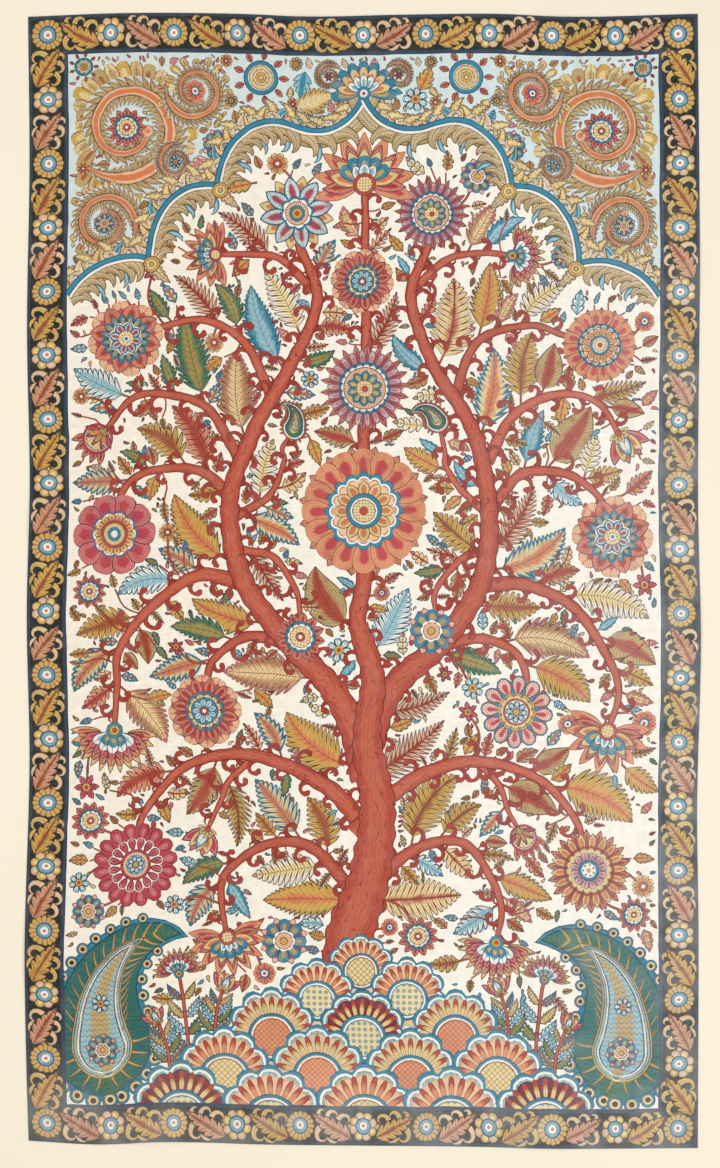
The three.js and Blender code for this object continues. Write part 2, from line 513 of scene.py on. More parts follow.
borderInputs = {
    "First Rosette": "Object", "Second Rosette": "Object", "First Leaf": "Object", "Second Leaf": "Object",
    "Rosettes": "Int", "Leaves": "Int", "Rosette Start": "Float", "Leaf Start": "Float", "Step": "Float",
    "Centre Line": "Vector", "Turn": "Float", "Stray Turn": "Float", "Stray Size": "Float", "Seed": "Int",
    "Cloth": "Material",
}


# one run of the border: rosettes and leaves on a line, two kinds in turn, each a little out of true
def borderTree():
    tree = bpy.data.node_groups.new("borderRepeats", "GeometryNodeTree")
    tree.interface.new_socket("Geometry", in_out="OUTPUT", socket_type="NodeSocketGeometry")
    for label, kind in borderInputs.items():
        tree.interface.new_socket(label, in_out="INPUT", socket_type="NodeSocket" + kind)
    given = addNode(tree, "NodeGroupInput").outputs
    gathered = addNode(tree, "GeometryNodeJoinGeometry")

    def onAxis(axis, value):
        return addNode(tree, "ShaderNodeCombineXYZ", {axis: value}).outputs[0]

    def stray(label, middle):
        pick = addNode(tree, "FunctionNodeRandomValue", {"Seed": given["Seed"]}, data_type="FLOAT")
        ends = [socket for socket in pick.inputs if socket.type == "VALUE"]
        for kind, end in zip(("SUBTRACT", "ADD"), ends):
            wire(addNode(tree, "ShaderNodeMath", {0: middle, 1: given[label]}, operation=kind).outputs[0], end)
        return next(socket for socket in pick.outputs if socket.type == "VALUE")

    def spread(first, second, count, start):
        line = addNode(tree, "GeometryNodeMeshLine", {
            "Count": given[count], "Start Location": onAxis("X", given[start]),
            "Offset": onAxis("X", given["Step"])})
        motifs = addNode(tree, "GeometryNodeJoinGeometry")
        for label in (second, first):
            motif = addNode(tree, "GeometryNodeObjectInfo", {"Object": given[label], "As Instance": True})
            wire(motif.outputs["Geometry"], motifs.inputs[0])
        index = addNode(tree, "GeometryNodeInputIndex").outputs[0]
        parity = addNode(tree, "ShaderNodeMath", {0: index, 1: 2}, operation="MODULO")
        lay = addNode(tree, "GeometryNodeInstanceOnPoints", {
            "Points": line.outputs[0], "Instance": motifs.outputs[0], "Pick Instance": True,
            "Instance Index": parity.outputs[0], "Rotation": onAxis("Z", stray("Stray Turn", 0.0)),
            "Scale": stray("Stray Size", 1.0)})
        wire(lay.outputs[0], gathered.inputs[0])

    spread("First Rosette", "Second Rosette", "Rosettes", "Rosette Start")
    spread("First Leaf", "Second Leaf", "Leaves", "Leaf Start")
    place = addNode(tree, "GeometryNodeTransform", {
        "Geometry": gathered.outputs[0], "Translation": given["Centre Line"],
        "Rotation": onAxis("Z", given["Turn"])})
    real = addNode(tree, "GeometryNodeRealizeInstances", {0: place.outputs[0]})
    finish = addNode(tree, "GeometryNodeSetMaterial", {"Geometry": real.outputs[0], "Material": given["Cloth"]})
    addNode(tree, "NodeGroupOutput", {0: finish.outputs[0]})
    return tree


twoHalves = np.array([(0, 1, 2), (0, 2, 3)])  # a box of four corners as two triangles


def cornersOf(x, y):
    return [(-x, -y), (x, -y), (x, y), (-x, y)]


# the four strips of the dark ground, mitred at the corners, with a plain blue band along both edges
def paintBorderGround():
    outer, inner = cornersOf(halfWide, halfLong), cornersOf(fieldX, fieldY)
    reach = panelCloth["border"] / 2
    for k in range(4):
        n = (k + 1) % 4
        box = np.array([outer[k], outer[n], inner[n], inner[k]], float)
        strokes = np.stack([np.full(4, reach), box[:, k % 2], np.array([reach, reach, -reach, -reach])], 1)
        stencil.add(box[twoHalves], strokes[twoHalves], outlineOf(box), "borderGround", whole=True)


# the leaf as drawn, mirrored along the border, across it, and both ways
leafWays = ((0.0, 1), (math.pi, -1), (0.0, -1), (math.pi, 1))


def paintBorder(material):
    paintBorderGround()
    rosettes = [motifMesh(name, draw, borderRepeat["rosetteCoat"])
                for name, draw in (("borderRosetteGold", goldRosette), ("borderRosetteLobed", lobedRosette))]
    leaves = []
    for turn, flip in leafWays:
        leaves.append([])
        for pen in ("borderGold", "borderRose"):
            def draw(spot):
                borderSpray(within(spot, 0, 0, turn, 1.0, flip), pen + "Leaf", pen + "Curl")
            leaves[-1].append(motifMesh("borderSpray", draw, borderRepeat["leafCoat"]))
    tree = borderTree()
    sockets = {item.name: item.identifier for item in tree.interface.items_tree if item.in_out == "INPUT"}
    acrossCount, upCount = borderRepeat["acrossCount"], borderRepeat["upCount"]
    middleX, middleY = halfWide - panelCloth["border"] / 2, halfLong - panelCloth["border"] / 2
    stepX, stepY = 2 * middleX / (acrossCount - 1), 2 * middleY / (upCount + 1)
    base = stencil.coat + 1
    half = (acrossCount - 1) // 2
    top, bottom, left, right = (0, middleY, 0), (0, -middleY, 0), (-middleX, 0, 0), (middleX, 0, 0)
    # each run: centre line, turn, step, rosettes, leaves, place of the first leaf, how it is mirrored
    runs = [
        (top, 0.0, stepX, acrossCount, half, 0.5 - half, 3), (top, 0.0, stepX, 0, half, 0.5, 2),
        (bottom, math.pi, stepX, acrossCount, half, 0.5 - half, 1), (bottom, math.pi, stepX, 0, half, 0.5, 0),
        (left, math.pi / 2, stepY, upCount, upCount + 1, -upCount / 2, 0),
        (right, -math.pi / 2, stepY, upCount, upCount + 1, -upCount / 2, 1),
    ]
    for number, (place, turn, step, count, leafCount, firstLeaf, way) in enumerate(runs):
        pair = leaves[way] if count else leaves[way][::-1]
        holder = addObject("borderSide", bpy.data.meshes.new("borderSide"))
        strip = holder.modifiers.new("repeats", "NODES")
        strip.node_group = tree
        values = {
            "First Rosette": rosettes[0], "Second Rosette": rosettes[1], "First Leaf": pair[0],
            "Second Leaf": pair[1], "Rosettes": count, "Leaves": leafCount, "Step": step,
            "Rosette Start": -step * (count - 1) / 2, "Leaf Start": step * firstLeaf, "Centre Line": place,
            "Turn": turn, "Stray Turn": borderRepeat["strayTurn"], "Stray Size": borderRepeat["straySize"],
            "Seed": borderRepeat["seed"] + number, "Cloth": material,
        }
        for label, value in values.items():
            strip[sockets[label]] = value
        bpy.context.view_layer.update()
        laid = bpy.data.meshes.new_from_object(holder.evaluated_get(bpy.context.evaluated_depsgraph_get()))
        bpy.data.objects.remove(holder)
        takeMesh(laid, base)
        bpy.data.meshes.remove(laid)
    for motif in rosettes + sum(leaves, []):
        bpy.data.objects.remove(motif)


# reads the repeated motifs' triangles back into the painting
def takeMesh(mesh, base):
    count, corner = len(mesh.polygons), len(mesh.vertices) * 3
    layers = mesh.attributes
    points = readLayer(mesh.vertices, "co", corner).reshape(-1, 3)[:, :2].astype(float)
    strokes = readLayer(layers["stroke"].data, "vector", corner).reshape(-1, 3).astype(float)
    forms = readLayer(layers["form"].data, "color", count * 4).reshape(-1, 4).astype(float)
    faces = readLayer(mesh.loops, "vertex_index", count * 3, int).reshape(-1, 3)
    pen, coat, whole = (readLayer(layers[key].data, "value", count, int) for key in ("pen", "coat", "whole"))
    corners = points[faces]
    parted = corners[whole == 0]  # a whole disc needs its outer edges only
    edges = np.concatenate([parted[:, [0, 1]], corners[:, [1, 2]], parted[:, [2, 0]]])
    shift = hand.uniform(0, 9)
    stencil.put(corners=corners, strokes=strokes[faces], pens=pen, coats=base + coat, forms=forms,
                whole=whole > 0, edges=edges,
                tones=np.sin(corners[:, 0, 0] * 0.05 + shift) * np.cos(corners[:, 0, 1] * 0.043))
    stencil.coat = max(stencil.coat, base + int(coat.max()))
    print("border side:", count, "painted triangles")


# a smooth step from start to end as a value goes from low to high
def ramp(value, low, high, start=0.0, end=1.0):
    node = addNode(value.socket.id_data, "ShaderNodeMapRange", enumerate((value, low, high, start, end)),
                   interpolation_type="SMOOTHSTEP")
    return Value(node.outputs[0])


def blend(share, first, second, kind="MIX"):
    return addNode(share.socket.id_data, "ShaderNodeMix", {0: share, 6: first, 7: second}, data_type="RGBA",
                   blend_type=kind).outputs[2]


def choose(share, first, second):
    return Value(addNode(share.socket.id_data, "ShaderNodeMix", {0: share, 2: first, 3: second}).outputs[0])


def clouds(place, scale, detail=2.0, rough=0.5, stretch=None):
    tree = place.id_data
    if stretch:
        place = addNode(tree, "ShaderNodeMapping", {"Vector": place, "Scale": stretch}).outputs[0]
    sockets = {"Vector": place, "Scale": scale, "Detail": detail, "Roughness": rough}
    return Value(addNode(tree, "ShaderNodeTexNoise", sockets).outputs["Fac"])


def partsOf(vector):
    return [Value(part) for part in addNode(vector.id_data, "ShaderNodeSeparateXYZ", {0: vector}).outputs]


def scaled(color, size):
    sockets = {0: color, "Scale": size}
    return addNode(color.id_data, "ShaderNodeVectorMath", sockets, operation="SCALE").outputs[0]


def layer(tree, key):
    return addNode(tree, "ShaderNodeAttribute", attribute_name=key).outputs


def objectPlace(tree):
    return addNode(tree, "ShaderNodeTexCoord").outputs["Object"]


# plain weave: threads over and under, with thick and thin places along them
def weaveGroup():
    tree = bpy.data.node_groups.new("plainWeave", "ShaderNodeTree")
    for label, usual in (("Thread Pitch", 0.0008), ("Slub", 0.5)):
        tree.interface.new_socket(label, in_out="INPUT", socket_type="NodeSocketFloat").default_value = usual
    for label in ("Height", "Shade"):
        tree.interface.new_socket(label, in_out="OUTPUT", socket_type="NodeSocketFloat")
    given = addNode(tree, "NodeGroupInput").outputs
    place = objectPlace(tree)
    x, y, _ = partsOf(place)
    turn = math.pi / Value(given["Thread Pitch"])
    over = reckon("SINE", x * turn) * reckon("SINE", y * turn)
    weft, warp = (clouds(place, 1.0, 2, 0.6, stretch) for stretch in ((14, 620, 1), (620, 14, 1)))
    slub = (weft + warp - 1.0) * Value(given["Slub"])
    addNode(tree, "NodeGroupOutput", {"Height": over * 0.35 + slub, "Shade": 1.0 + slub * 0.35})


def placeWeave(tree, finish):
    node = addNode(tree, "ShaderNodeGroup", {"Thread Pitch": finish["threadPitch"], "Slub": finish["slub"]},
                   node_tree=bpy.data.node_groups["plainWeave"])
    return node.outputs["Height"], Value(node.outputs["Shade"])


cottonSheen = {"Specular IOR Level": 0.18, "Sheen Weight": 0.12, "Sheen Roughness": 0.6}


def cottonShader(name):
    material = bpy.data.materials.new(name)
    material.use_nodes = True
    shader = material.node_tree.nodes["Principled BSDF"]
    for key, value in cottonSheen.items():
        shader.inputs[key].default_value = value
    return material, material.node_tree, shader


def finishCotton(shader, color, roughness, height, finish):
    sockets = {"Strength": 0.5, "Distance": finish["bump"], "Height": height}
    normal = addNode(shader.id_data, "ShaderNodeBump", sockets).outputs[0]
    for key, value in (("Base Color", color), ("Roughness", roughness), ("Normal", normal)):
        wire(value, shader.inputs[key])


# its last four: painted shade that darkens and warms the left side, and painted light that pales the dyes
# towards the right side and the foot
paintedFinish = {
    "threadPitch": 0.0009, "slub": 0.45, "bump": 0.0004, "lineSoft": 0.22, "lineScale": 1.4, "veinScale": 1.25,
    "dyeMottle": 0.14, "streaks": 0.08, "pool": 0.62, "edgeDark": 0.14, "leftShadeShare": 0.2, "fade": 0.155,
    "leftShadeTint": (0.80, 0.56, 0.30, 1.0), "paintedLightTint": (0.84, 0.85, 0.82, 1.0),
}


# the shape that a place lies in: how far it is in from the edge, and how far out of the whole width
def shapeEdges(tree, reach, along, across):
    form = layer(tree, "shapeForm")
    first, second, third, fourth = *partsOf(form["Vector"]), Value(form["Alpha"])
    isPetal = reckon("LESS_THAN", reach, -1.5)
    isDisc = reckon("LESS_THAN", reach, -0.5) * (1.0 - isPetal)
    isLobed = reckon("GREATER_THAN", reach, -0.5) * reckon("GREATER_THAN", first, 0.5)
    side = abs(across)
    firstSafe = reckon("MAXIMUM", first, 0.01)
    # a strip's lobes: the edge goes in and out along it, and its true distance allows for the slope
    swing = reckon("FRACT", (along - third * side) / firstSafe) - 0.5
    swingSize = reckon("MAXIMUM", abs(swing) * 2.0, 0.001)
    cut = second * swingSize ** fourth
    slope = reach * cut * (fourth * 2.0) / (swingSize * firstSafe)
    climb = slope * (reckon("SIGN", swing) * -1.0)
    tilt = 1.0 + third * climb
    steep = reckon("SQRT", climb * climb + reckon("MAXIMUM", tilt * tilt, 0.05))
    lobeEdge = (reach * (1.0 - cut) - side) / steep
    # a petal swells and closes by two powers, and a disc may have lobes all round
    share = reckon("DIVIDE", along, firstSafe, clamp=True)
    petalHalf = second * (share ** third * (1.0 - share) ** fourth)
    angle = reckon("ARCTAN2", across, along)
    spread = reckon("SQRT", along * along + across * across)
    notch = abs(reckon("COSINE", second * 0.5 * angle)) ** 0.6
    discHalf = first * (1.0 - third * (1.0 - notch))
    edge = choose(isLobed, reach - side, lobeEdge)
    edge = choose(isPetal, edge, petalHalf - side)
    edge = choose(isDisc, edge, discHalf - spread)
    outward = side / reckon("MAXIMUM", reach, 0.2)
    outward = choose(isPetal, outward, side / reckon("MAXIMUM", petalHalf, 0.2) + ramp(share, 0.62, 0.95))
    outward = choose(isDisc, outward, spread / reckon("MAXIMUM", discHalf, 0.2))
    rayGap = abs(reckon("FRACT", fourth * angle / math.tau) - 0.5) * (
        spread * math.tau / reckon("MAXIMUM", fourth, 1.0))
    return edge, outward, rayGap, isLobed, first, third


# dye on cotton: each shape's line, rim, fill and core follow the distance in from its edge, veins its spine
def paintedMaterial():
    look = paintedFinish
    material, tree, shader = cottonShader("paintedCotton")
    place = objectPlace(tree)
    line, rim, fill, core, ground = (layer(tree, "pen" + key)["Color"]
                                     for key in ("Line", "Rim", "Fill", "Core", "Ground"))
    (reach, along, across), (lineWide, rimWide, coreShare), (pitch, slope, veinWide), (rib, tone, veinKind) = (
        partsOf(layer(tree, key)["Vector"]) for key in ("stroke", "penWidths", "penVeins", "penTouch"))
    edge, outward, rayGap, isLobed, lobePitch, lobeLean = shapeEdges(tree, reach, along, across)
    edge = edge + (clouds(place, 420, 1) - 0.5) * 0.8
    side = abs(across)

    def under(value, limit):
        return ramp(value, limit - look["lineSoft"], limit + look["lineSoft"], 1.0, 0.0)

    # the line swells and thins as the pen is pressed
    press = ramp(clouds(place, 55, 2), 0.3, 0.7, 0.75, 1.25)
    hasLine = ramp(lineWide, 0.1, 0.25)
    inLine = under(edge, lineWide * look["lineScale"] * press) * hasLine
    wash = clouds(place, 48, 3, 0.6)
    hasCore = ramp(coreShare, 0.02, 0.1)
    inCore = ramp(outward + (wash - 0.5) * 0.7, coreShare - 0.16, coreShare + 0.16, 1.0, 0.0) * hasCore
    pooled = ramp(wash, 0.5, 0.75, 0.0, look["pool"]) * hasCore
    # veins, by their kind
    safe = reckon("MAXIMUM", choose(isLobed, pitch, lobePitch), 0.5)
    lean = choose(isLobed, slope, lobeLean)

    def lines(value):
        return abs(reckon("FRACT", value / safe) - 0.5) * safe

    waver = (clouds(place, 26, 3, 0.6) - 0.5) * 46.0
    arch = abs(reckon("SINE", across * math.pi / safe))
    scallop = lines(along + arch * safe * 0.45)
    dotty = reckon("SQRT", lines(along) ** 2.0 + lines(across) ** 2.0)
    woven = reckon("MINIMUM", lines(along + across), lines(along - across))
    off = lines(along - side * lean)
    for number, value in enumerate((lines(edge), scallop, dotty, woven, rayGap, lines(across + waver)), 1):
        off = choose(reckon("COMPARE", veinKind, float(number), 0.4), off, value)
    inVein = under(off, veinWide * (0.5 * look["veinScale"])) * ramp(veinWide, 0.1, 0.3)
    inRib = under(side, rib) * ramp(rib, 0.1, 0.25)
    hasRim = ramp(rimWide, 0.3, 0.9)
    rimLine = hasRim * under(abs(edge - rimWide), 0.32)
    worn = inLine * ramp(clouds(place, 160, 2), 0.2, 0.45, 0.75, 1.0)
    painted = blend(reckon("MAXIMUM", inCore, pooled), fill, core)
    for share, color in ((inVein * 0.7, line), (inRib * 0.8, line), (under(edge, rimWide) * hasRim, rim),
                         (rimLine * 0.8, line), (worn, line), (isLobed * under(edge, -0.1), ground)):
        painted = blend(share, painted, color)
    # brush marks and pooled dye in the fills
    mottle = clouds(place, 70, 3, 0.6) - 0.5
    streak = clouds(place, 1.0, 2, 0.6, (60, 420, 1)) - 0.5
    edgeDark = ramp(edge, 0.0, 3.2, -look["edgeDark"], 0.0)
    dye = mottle * (look["dyeMottle"] * 2) + streak * (look["streaks"] * 2) + tone * 0.07 + edgeDark * hasLine
    height, shade = placeWeave(tree, look)
    value = (1.0 + dye) * shade
    # painted light: the dyes are paler towards the right side and the foot, where the light falls strongest,
    # most of all in the border; patchy adds pale patches at random all over
    x, y, _ = partsOf(place)
    pale = reckon("MAXIMUM", ramp(x, -0.05, 0.42) * ramp(y, 0.66, 0.2), ramp(y, -0.6, -0.75))
    pale = pale * ramp(clouds(place, 16, 3, 0.6), 0.3, 0.7, 0.4, 1.4)
    pale = pale * reckon("MAXIMUM", ramp(abs(x), 0.398, 0.406, 0.6, 1.0), ramp(abs(y), 0.711, 0.719, 0.6, 1.0))
    patchy = ramp(clouds(place, 30, 4, 0.65), 0.42, 0.75, 0.0, 0.04)
    painted = blend(pale * look["fade"] + patchy, painted, look["paintedLightTint"])
    # painted shade: the left side is made darker and warmer, standing in for the weaker light there
    leftShade = ramp(x, -0.46, 0.3, look["leftShadeShare"], 0.0)
    color = blend(leftShade, scaled(painted, value), look["leftShadeTint"], "MULTIPLY")
    finishCotton(shader, color, ramp(clouds(place, 90, 2), 0.3, 0.7, 0.84, 0.94), height, look)
    return material


reverseFinish = {"threadPitch": 0.0009, "slub": 0.55, "bump": 0.0004}


def reverseMaterial():
    material, tree, shader = cottonShader("clothReverse")
    height, shade = placeWeave(tree, reverseFinish)
    mottle = ramp(clouds(objectPlace(tree), 40, 4, 0.6), 0.3, 0.7, 0.94, 1.04)
    color = scaled(layer(tree, "penFill")["Color"], shade * mottle)
    finishCotton(shader, color, ramp(mottle, 0.94, 1.04, 0.86, 0.95), height, reverseFinish)
    return material


weaveGroup()
paintedCotton = paintedMaterial()
clothReverse = reverseMaterial()
print("materials made")


# how the sheet is cut up, in millimetres: its grid, the grid of its back, points that are welded, the longest
# edge, how far a straight run may bow, and the cells that speed the search for the paint on top
clothCut = {"grid": 15.0, "backGrid": 22.0, "weld": 0.03, "longest": 13.0, "bow": 0.004, "cell": 9.0,
            "margin": 5}


# the topmost painted triangle over each place, or -1 for bare cotton
def topPaint(places, corners, coats):
    cell, margin = clothCut["cell"], clothCut["margin"]
    low = np.array([-halfWide - margin, -halfLong - margin])
    wide = int((2 * halfWide + 2 * margin) / cell) + 1
    first, last = (np.floor((ends - low) / cell).astype(int) for ends in (corners.min(1), corners.max(1)))
    span = last - first + 1
    total = span[:, 0] * span[:, 1]
    owner = np.repeat(np.arange(len(corners)), total)
    order = np.arange(total.sum()) - np.repeat(np.cumsum(total) - total, total)
    cells = (first[owner, 1] + order // span[owner, 0]) * wide + first[owner, 0] + order % span[owner, 0]
    rank = np.lexsort((-coats[owner], cells))
    owner, cells = owner[rank], cells[rank]
    at = np.floor((places - low) / cell).astype(int)
    placeCells = at[:, 1] * wide + at[:, 0]
    sortedPlaces = np.argsort(placeCells, kind="stable")
    keys, starts = np.unique(placeCells[sortedPlaces], return_index=True)
    ends = np.append(starts[1:], len(places))
    ownerStart, ownerEnd = np.searchsorted(cells, keys), np.searchsorted(cells, keys, side="right")
    found = np.full(len(places), -1)
    facing = np.sign(areasOf(corners))
    for k in np.flatnonzero(ownerStart < ownerEnd):
        who = owner[ownerStart[k]:ownerEnd[k]]
        mine = sortedPlaces[starts[k]:ends[k]]
        here = places[mine][:, None]
        inside = np.ones((len(mine), len(who)), bool)
        for one, two in ((0, 1), (1, 2), (2, 0)):
            u, v = corners[who, one], corners[who, two]
            inside &= crossOf(v - u, here - u) * facing[who] >= -1e-7
        pick = inside.argmax(1)
        found[mine] = np.where(inside[np.arange(len(mine)), pick], who[pick], -1)
    return found


def cutUp(points, edges):
    out = delaunay_2d_cdt([Vector(p) for p in points.tolist()], edges.tolist(), [], 0, 1e-4, False)
    return np.array([tuple(v) for v in out[0]]), np.array(out[2], int)


def edgesOf(faces):
    pairs = np.sort(np.concatenate([faces[:, [0, 1]], faces[:, [1, 2]], faces[:, [2, 0]]]), axis=1)
    return pairs, np.tile(np.arange(len(faces)), 3)


def onRim(points):
    return (np.abs(np.abs(points) - (halfWide, halfLong)) < 1e-3).any(1)


# welds near points, joins straight runs of short edges, then parts those too long to follow the cloth
def tidyEdges(points, edges):
    rims, weld = np.array([halfWide, halfLong]), clothCut["weld"]
    points = np.where(np.abs(np.abs(points) - rims) < weld, np.sign(points) * rims, points)
    _, first, same = np.unique(np.rint(points / weld), axis=0, return_index=True, return_inverse=True)
    points, edges = points[first], np.sort(same.reshape(-1)[edges], axis=1)
    edges = np.unique(edges[edges[:, 0] != edges[:, 1]], axis=0)
    near = {}
    for a, b in edges.tolist():
        near.setdefault(a, []).append(b)
        near.setdefault(b, []).append(a)
    spare = set()
    for k, ends in near.items():
        if len(ends) == 2 and ends[0] != ends[1]:
            u, v = points[ends[0]] - points[k], points[ends[1]] - points[k]
            if u @ v < 0 and abs(crossOf(u, v)) < clothCut["bow"] * (math.hypot(*u) + math.hypot(*v)):
                spare.add(k)
    runs = set()
    for k in [k for k in near if k not in spare]:
        for end in near[k]:
            last, at = k, end
            while at in spare:
                one, two = near[at]
                last, at = at, (two if one == last else one)
            if at != k:
                runs.add((min(k, at), max(k, at)))
    kept, cuts = list(map(tuple, points.tolist())), []
    for a, b in runs:
        pieces = max(1, math.ceil(math.dist(kept[a], kept[b]) / clothCut["longest"]))
        chain = [a, *range(len(kept), len(kept) + pieces - 1), b]
        start, way = np.array(kept[a]), np.array(kept[b]) - kept[a]
        kept += [tuple(start + way * i / pieces) for i in range(1, pieces)]
        cuts += zip(chain[:-1], chain[1:])
    used, cuts = np.unique(np.array(cuts), return_inverse=True)
    return np.array(kept)[used], cuts.reshape(-1, 2)


# the sheet's own grid, where no painted edge is near
def freeGrid(points):
    step = clothCut["grid"]
    x, y = (np.linspace(-half, half, int(2 * half / step) + 1) for half in (halfWide, halfLong))
    grid = np.stack(np.meshgrid(x, y), -1).reshape(-1, 2)
    full = set(map(tuple, np.floor(points / (step * 0.5)).astype(int).tolist()))
    free = np.array([tuple(cell) not in full for cell in np.floor(grid / (step * 0.5)).astype(int).tolist()])
    return grid[free | onRim(grid)]


# cuts the flat sheet along every visible painted edge, so that the colours lie in the cloth's own faces
def flattenPaint():
    paint = stencil.arrays()
    corners, penIds, coats = paint["corners"], paint["pens"], paint["coats"]
    print("painted triangles:", len(corners))
    lines = np.clip(paint["edges"], (-halfWide, -halfLong), (halfWide, halfLong))
    points, index = np.unique(np.round(lines.reshape(-1, 2), 2), axis=0, return_inverse=True)
    pairs = np.unique(np.sort(index.reshape(-1, 2), axis=1), axis=0)
    sides = len(points) + np.array([(0, 1), (1, 2), (2, 3), (3, 0)])
    pairs = np.concatenate([pairs[pairs[:, 0] != pairs[:, 1]], sides])
    points, faces = cutUp(np.concatenate([points, cornersOf(halfWide, halfLong)]), pairs)
    print("first cut:", len(faces), "triangles")
    # an edge stays where the shapes on its two sides differ, or at the rim
    flatPens = np.array([pens[name][4] == 0 for name in penNames])
    top = topPaint(points[faces].mean(1), corners, coats)
    shape = np.where(paint["whole"][top], -1000 - coats[top], top)
    owner = np.where(top < 0, -1, np.where(flatPens[penIds[top]], -2 - penIds[top], shape))
    pairs, face = edgesOf(faces)
    key = pairs[:, 0].astype(np.int64) * len(points) + pairs[:, 1]
    rank = np.argsort(key, kind="stable")
    key, face, pairs = key[rank], face[rank], pairs[rank]
    twin = np.flatnonzero(key[1:] == key[:-1])
    apart = owner[face[twin]] != owner[face[twin + 1]]
    single = np.ones(len(key), bool)
    single[twin] = single[twin + 1] = False
    points, edges = tidyEdges(points, np.concatenate([pairs[twin[apart]], pairs[single]]))
    points, faces = cutUp(np.concatenate([points, freeGrid(points)]), edges)
    top = topPaint(points[faces].mean(1), corners, coats)
    print("painted sheet:", len(faces), "triangles")
    # each corner's place in the shape that shows there
    here = points[faces]
    a, b, c = (corners[top][:, None, k] for k in range(3))
    area = areasOf(corners[top])[:, None]
    u, v = crossOf(b - here, c - here) / area, crossOf(c - here, a - here) / area
    shares = np.stack([u, v, 1 - u - v], -1)
    strokes = paint["strokes"][top]
    placed = sum(shares[..., k, None] * strokes[:, None, k] for k in range(3))
    bare = top < 0
    placed[bare] = bareStroke
    forms = np.where(bare[:, None], 0, paint["forms"][top])
    tones = np.where(bare, 0, paint["tones"][top])
    return points, faces, placed, np.where(bare, penIndex["ground"], penIds[top]), tones, forms


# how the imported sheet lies: its grid of corners, read from the frame
def sheetLie():
    points = np.array([v.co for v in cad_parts["panel_cloth"].data.vertices]) * 1000
    low, high = points.min(0), points.max(0)
    cells = np.array([panelCloth["cellsAcross"], panelCloth["cellsUp"]])
    at = np.rint((points - low)[:, :2] / (high - low)[:2] * cells).astype(int)
    lie = np.full((cells[1] + 1, cells[0] + 1, 3), np.nan)
    for place, (m, n) in zip(points, at):
        if np.isnan(lie[n, m, 2]) or place[2] < lie[n, m, 2]:
            lie[n, m] = place
    return lie


# a smooth surface through the grid of corners
def smoothAt(lie, across, up):
    rows, columns = lie.shape[:2]

    def weights(place, count):
        cell = np.clip(np.floor(place).astype(int), 0, count - 2)
        t = place - cell
        picks = np.clip(np.stack([cell - 1, cell, cell + 1, cell + 2]), 0, count - 1)
        return picks, np.stack([-t + 2 * t ** 2 - t ** 3, 2 - 5 * t ** 2 + 3 * t ** 3,
                                t + 4 * t ** 2 - 3 * t ** 3, t ** 3 - t ** 2]) / 2
    xs, wx = weights(across * (columns - 1), columns)
    ys, wy = weights(up * (rows - 1), rows)
    return sum(lie[ys[n], xs[m]] * (wx[m] * wy[n])[:, None] for m in range(4) for n in range(4))


def noiseAt(flat, scale, layer):
    return np.array([noise.noise((x * scale, y * scale, layer)) for x, y in flat.tolist()])


# puts flat places on the floor, with the stray of a hand-drawn line and a fine lift of the cloth
def layOnFloor(flat, lie, height):
    inner = np.minimum(halfWide - np.abs(flat[:, 0]), halfLong - np.abs(flat[:, 1]))
    fade = np.clip(inner / 10, 0, 1)
    shift = np.stack([noiseAt(flat, 0.021, low) + 0.45 * noiseAt(flat, 0.06, high)
                      for low, high in ((3, 8), (13, 18))], 1)
    moved = flat + shift * (panelCloth["handWobble"] * fade)[:, None]
    place = smoothAt(lie, moved[:, 0] / (2 * halfWide) + 0.5, moved[:, 1] / (2 * halfLong) + 0.5)
    fine = noiseAt(flat, 0.012, 30) * panelCloth["fineLift"]
    place[:, 2] = np.maximum(place[:, 2], 0) + (height + np.abs(fine) if height else 0)
    return place / 1000


# the plain back: its own coarse cut, on the same outline
def backSheet(outline):
    step = clothCut["backGrid"]
    x, y = (np.arange(1 - math.ceil(half / step), math.ceil(half / step)) * step
            for half in (halfWide, halfLong))
    coarse = np.stack(np.meshgrid(x, y), -1).reshape(-1, 2)
    points, faces = cutUp(np.concatenate([outline, coarse]), np.zeros((0, 2), int))
    faces = faces[np.abs(areasOf(points[faces])) > 1e-3]
    upward = areasOf(points[faces]) > 0
    faces[upward] = faces[upward][:, ::-1]
    return points, faces


# closes the gap between the front and the back, round the outline
def rimBetween(points, faces, backPoints):
    outer, count = np.unique(edgesOf(faces)[0], axis=0, return_counts=True)
    directed = {pair for a, b, c in faces.tolist() for pair in ((a, b), (b, c), (c, a))}
    lookup = {tuple(p): len(points) + i for i, p in enumerate(np.round(backPoints, 2).tolist())}
    made = []
    for a, b in outer[count == 1].tolist():
        if (a, b) not in directed:
            a, b = b, a
        c, d = (lookup[tuple(np.round(points[k], 2).tolist())] for k in (b, a))
        made += [(b, a, d), (b, d, c)]
    return np.array(made, int)


def cellOf(places):
    column, row = np.floor((places + (halfWide, halfLong)) / clothCut["backGrid"]).astype(int).T
    return row * math.ceil(2 * halfWide / clothCut["backGrid"] + 1) + column


# the dye over each place of the back, evened out cell by cell
def dyeOver(places, middles, areas, colors):
    cells, weight, count = cellOf(middles), np.abs(areas), cellOf(np.array([[halfWide, halfLong]]))[0] + 1
    total = np.stack([np.bincount(cells, weight * colors[:, k], count) for k in range(3)], 1)
    return (total / np.maximum(np.bincount(cells, weight, count), 1e-6)[:, None])[cellOf(places)]


def groundUnder(middles):
    grounds = np.array([dyeColor(pens[name][2]) for name in ("ground", "borderGround", "spandrel")])
    inBorder = (np.abs(middles) > (fieldX, fieldY)).any(1)
    overArch = middles[:, 1] > np.interp(-np.abs(middles[:, 0]), archLeft[:, 0], archLeft[:, 1])
    return grounds[np.where(inBorder, 1, np.where(overArch, 2, 0))]


clothBack = {"through": 0.28, "rimDye": 0.55}  # shares of the dye that show on the back and at the cut edge
